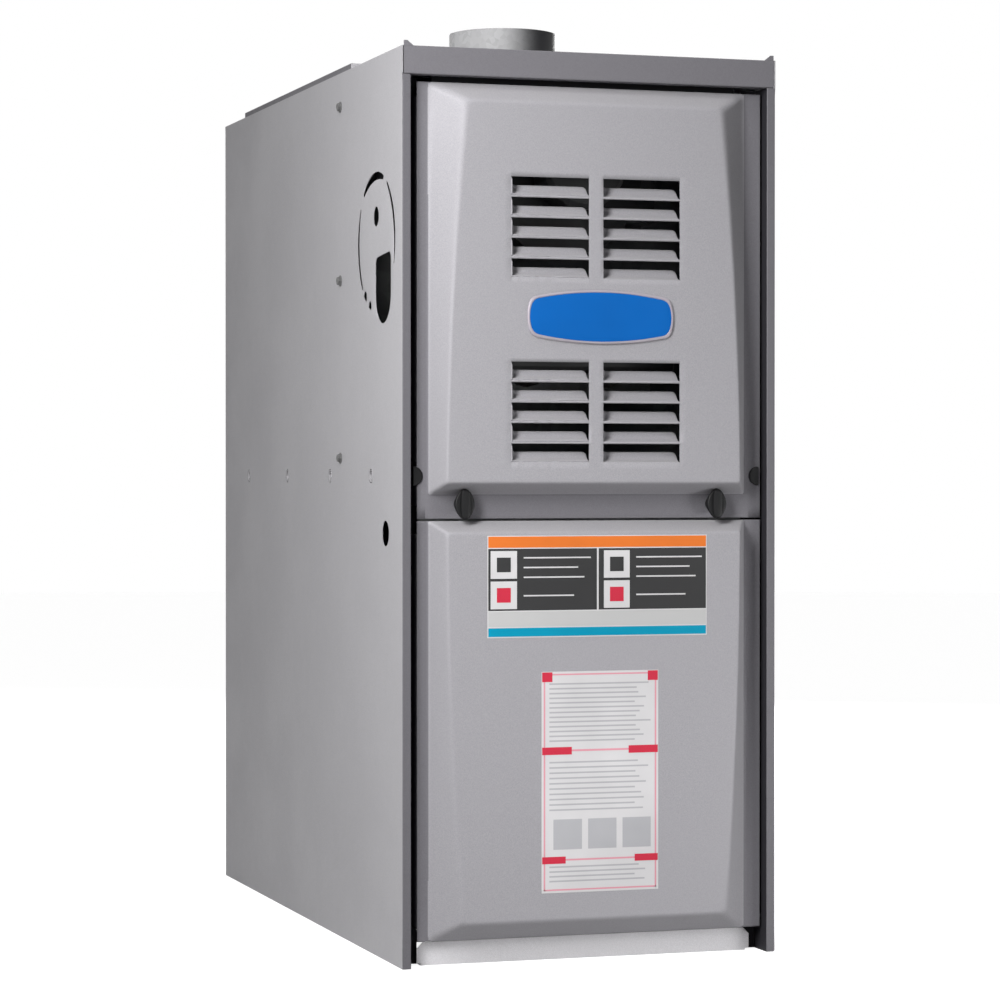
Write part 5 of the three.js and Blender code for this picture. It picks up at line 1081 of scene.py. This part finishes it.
NODE_FINISHES = (
    (CABINET_PAINT, "back_panel top_panel"),
    (RAIL_PAINTED_SHADE, "supply_flange_left supply_flange_right supply_flange_back"),
    (BASE_RAIL_FINISH, "base_pan"),
    (INNER_ZINC_PAINTED_SHADE, "latch_arm_left latch_arm_right latch_rail blower_deck burner_rack blower_scroll"
                 " blower_side_left blower_side_right blower_wheel motor_mount control_bracket"),
    (VESTIBULE_PAINTED_SHADE, "vestibule_panel"),
    (DARK_ZINC_PAINTED_SHADE, "collector_box vent_adapter"),
    (LINER_FOIL, "liner_left liner_right liner_back"),
    (TUBE_STEEL, "exchanger_tube_1 exchanger_tube_2 exchanger_tube_3"
                 " burner_1 burner_2 burner_3 inducer_wheel"),
    (BLACK_PAINT, "inducer_housing gas_manifold blower_motor"),
    (MOTOR_PAINTED_SHADE, "inducer_motor"),
    (GREY_CASTING, "gas_valve"),
    (BLUE_PLASTIC, "gas_cock"),
    (RED_PLASTIC, "reset_button"),
    (CERAMIC, "igniter flame_sensor"),
    (SWITCH_PLASTIC, "limit_switch rollout_switch pressure_switch door_switch door_plunger"),
    (HOSE_RUBBER, "pressure_hose"),
    (CAN_METAL, "capacitor"),
    (LAMINATION, "transformer"),
)
SOFT_EDGE = {"base_pan": 0.8, "top_panel": 0.8, "gas_valve": 1.2, "inducer_housing": 0.8}
SLIGHT_EDGE = 0.35


def dress_node(name, finish):
    """Gives a CAD node its finish, and eases its edges."""
    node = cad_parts[name]
    node.data.materials.clear()
    node.data.materials.append(finish)
    weld = node.modifiers.new("weld", "WELD")
    weld.merge_threshold = 1e-5
    fold_edges(node, SOFT_EDGE.get(name, SLIGHT_EDGE), 32, 2)


BOARD_THICKNESS = 1.6
STANDOFF_LENGTH = 8


def control_board():
    """Circuit board on its standoffs, with relays, terminal strip, plug, fuse and chip."""
    low, high = (corner * 1000 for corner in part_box("control_board"))
    front = high[1] - BOARD_THICKNESS - STANDOFF_LENGTH
    plate = box_part((low[0], front, low[2]), (high[0], front + BOARD_THICKNESS, high[2]))
    posts = [turned([(3, front + 1.5), (3, high[1])], (x, 0, z), "y", 12)
             for x in (low[0] + 6, high[0] - 6) for z in (low[2] + 6, high[2] - 6)]
    make_piece("control_board_plate", *merged(plate, *posts), "cabinet", BOARD_GREEN, "circuit_board",
               ("control_board",), smooth=False)
    for name, finish, depth, places in (
            ("relays", RELAY_PLASTIC, 16, [(12 + 24 * i, 31 + 24 * i, 62, 86) for i in range(3)]),
            ("terminals", SWITCH_PLASTIC, 12, [(12, 76, 6, 16)]),
            ("fuse", FUSE_AMBER, 12, [(18, 34, 22, 30)]),
            ("chip", SWITCH_PLASTIC, 4, [(50, 72, 22, 38)]),
            ("plug", PLUG_WHITE, 12, [(88, 100, 24, 68)])):
        parts = [box_part((low[0] + left, front - depth, low[2] + bottom),
                          (low[0] + right, front + 0.1, low[2] + top))
                 for left, right, bottom, top in places]
        fold_edges(make_piece("control_board_" + name, *merged(*parts), "cabinet", finish, "black_plastic",
                              smooth=False), 0.6)


for node_finish, node_names in NODE_FINISHES:
    for node_name in node_names.split():
        dress_node(node_name, node_finish)
control_board()


# ---------------- Floor, light and camera

def seen_directly(tree):
    """1 for rays of the camera, also after a reflection or through glass."""
    path = add(tree, "LightPath").outputs
    onward = combine(tree, "MAXIMUM", path["Is Glossy Ray"], path["Is Transmission Ray"])
    return combine(tree, "MAXIMUM", path["Is Camera Ray"], onward)


def stage_floor():
    mesh = bpy.data.meshes.new("floor")
    mesh.from_pydata([(a, b, 0) for a, b in circle(0, 0, 9, 64)], [], [tuple(range(64))])
    floor = new_object("floor", mesh)
    finish = Finish("floor_white", 0.0, 0.1)
    finish.rough(0.9)
    grain = noise(finish.tree, finish.place, 3.0)
    finish.colour(finish.blend(finish.scaled(grain, 0.3, 0.7), (0.44, 0.44, 0.44), (0.46, 0.46, 0.46)))
    finish.shader.inputs["Emission Color"].default_value = (1, 1, 1, 1)
    glow = combine(finish.tree, "MULTIPLY", seen_directly(finish.tree), 0.92)
    connect(finish.tree, glow, finish.shader.inputs["Emission Strength"])
    mesh.materials.append(finish.material)


def stage_world():
    world = bpy.data.worlds.new("studio")
    bpy.context.scene.world = world
    world.use_nodes = True
    tree = world.node_tree
    tree.nodes.clear()
    glow = combine(tree, "MAXIMUM", seen_directly(tree), 0.05)
    background = add(tree, "Background", Color=(1, 1, 1, 1), Strength=glow)
    add(tree, "OutputWorld", Surface=background.outputs["Background"])


def soft_box(name, place, target, width, height, power, spread=180):
    """A rectangular lamp that faces a target, in metres and watts."""
    light = bpy.data.lights.new(name, "AREA")
    light.shape = "RECTANGLE"
    light.size, light.size_y = width, height
    light.energy = power
    light.spread = math.radians(spread)
    lamp = new_object(name, light)
    lamp.location = place
    lamp.rotation_euler = (Vector(target) - Vector(place)).to_track_quat("-Z", "Y").to_euler()


def stage_camera():
    """Camera of the front view, low and a little to the left."""
    data = bpy.data.cameras.new("camera")
    data.lens = 114.5
    data.sensor_width = 36
    data.clip_end = 50
    camera = new_object("camera", data)
    camera.location = (-0.988, -3.1525, 0.454)
    camera.rotation_euler = (math.radians(90 - 0.47), 0, math.radians(-17.8))
    bpy.context.scene.camera = camera


stage_floor()
stage_world()
soft_box("side_box", (-0.98, -1.2, 1.1), (-0.1, -0.5, 0.55), 0.4, 1.0, 14, 120)
soft_box("top_box", (-0.35, -1.0, 2.6), (0, -0.36, 0.4), 0.8, 0.8, 12.5)
soft_box("front_box", (0.5, -3.1, 1.1), (0, 0, 0.4), 1.5, 1.5, 4)
soft_box("low_box", (1.0, -1.05, 0.12), (0.15, -0.36, 0.12), 0.4, 0.3, 1.5, 80)
soft_box("back_box", (1.5, 2.4, 1.15), (0, 0, 0.45), 1.4, 1.4, 68)
stage_camera()
bpy.context.scene.view_settings.view_transform = "Standard"
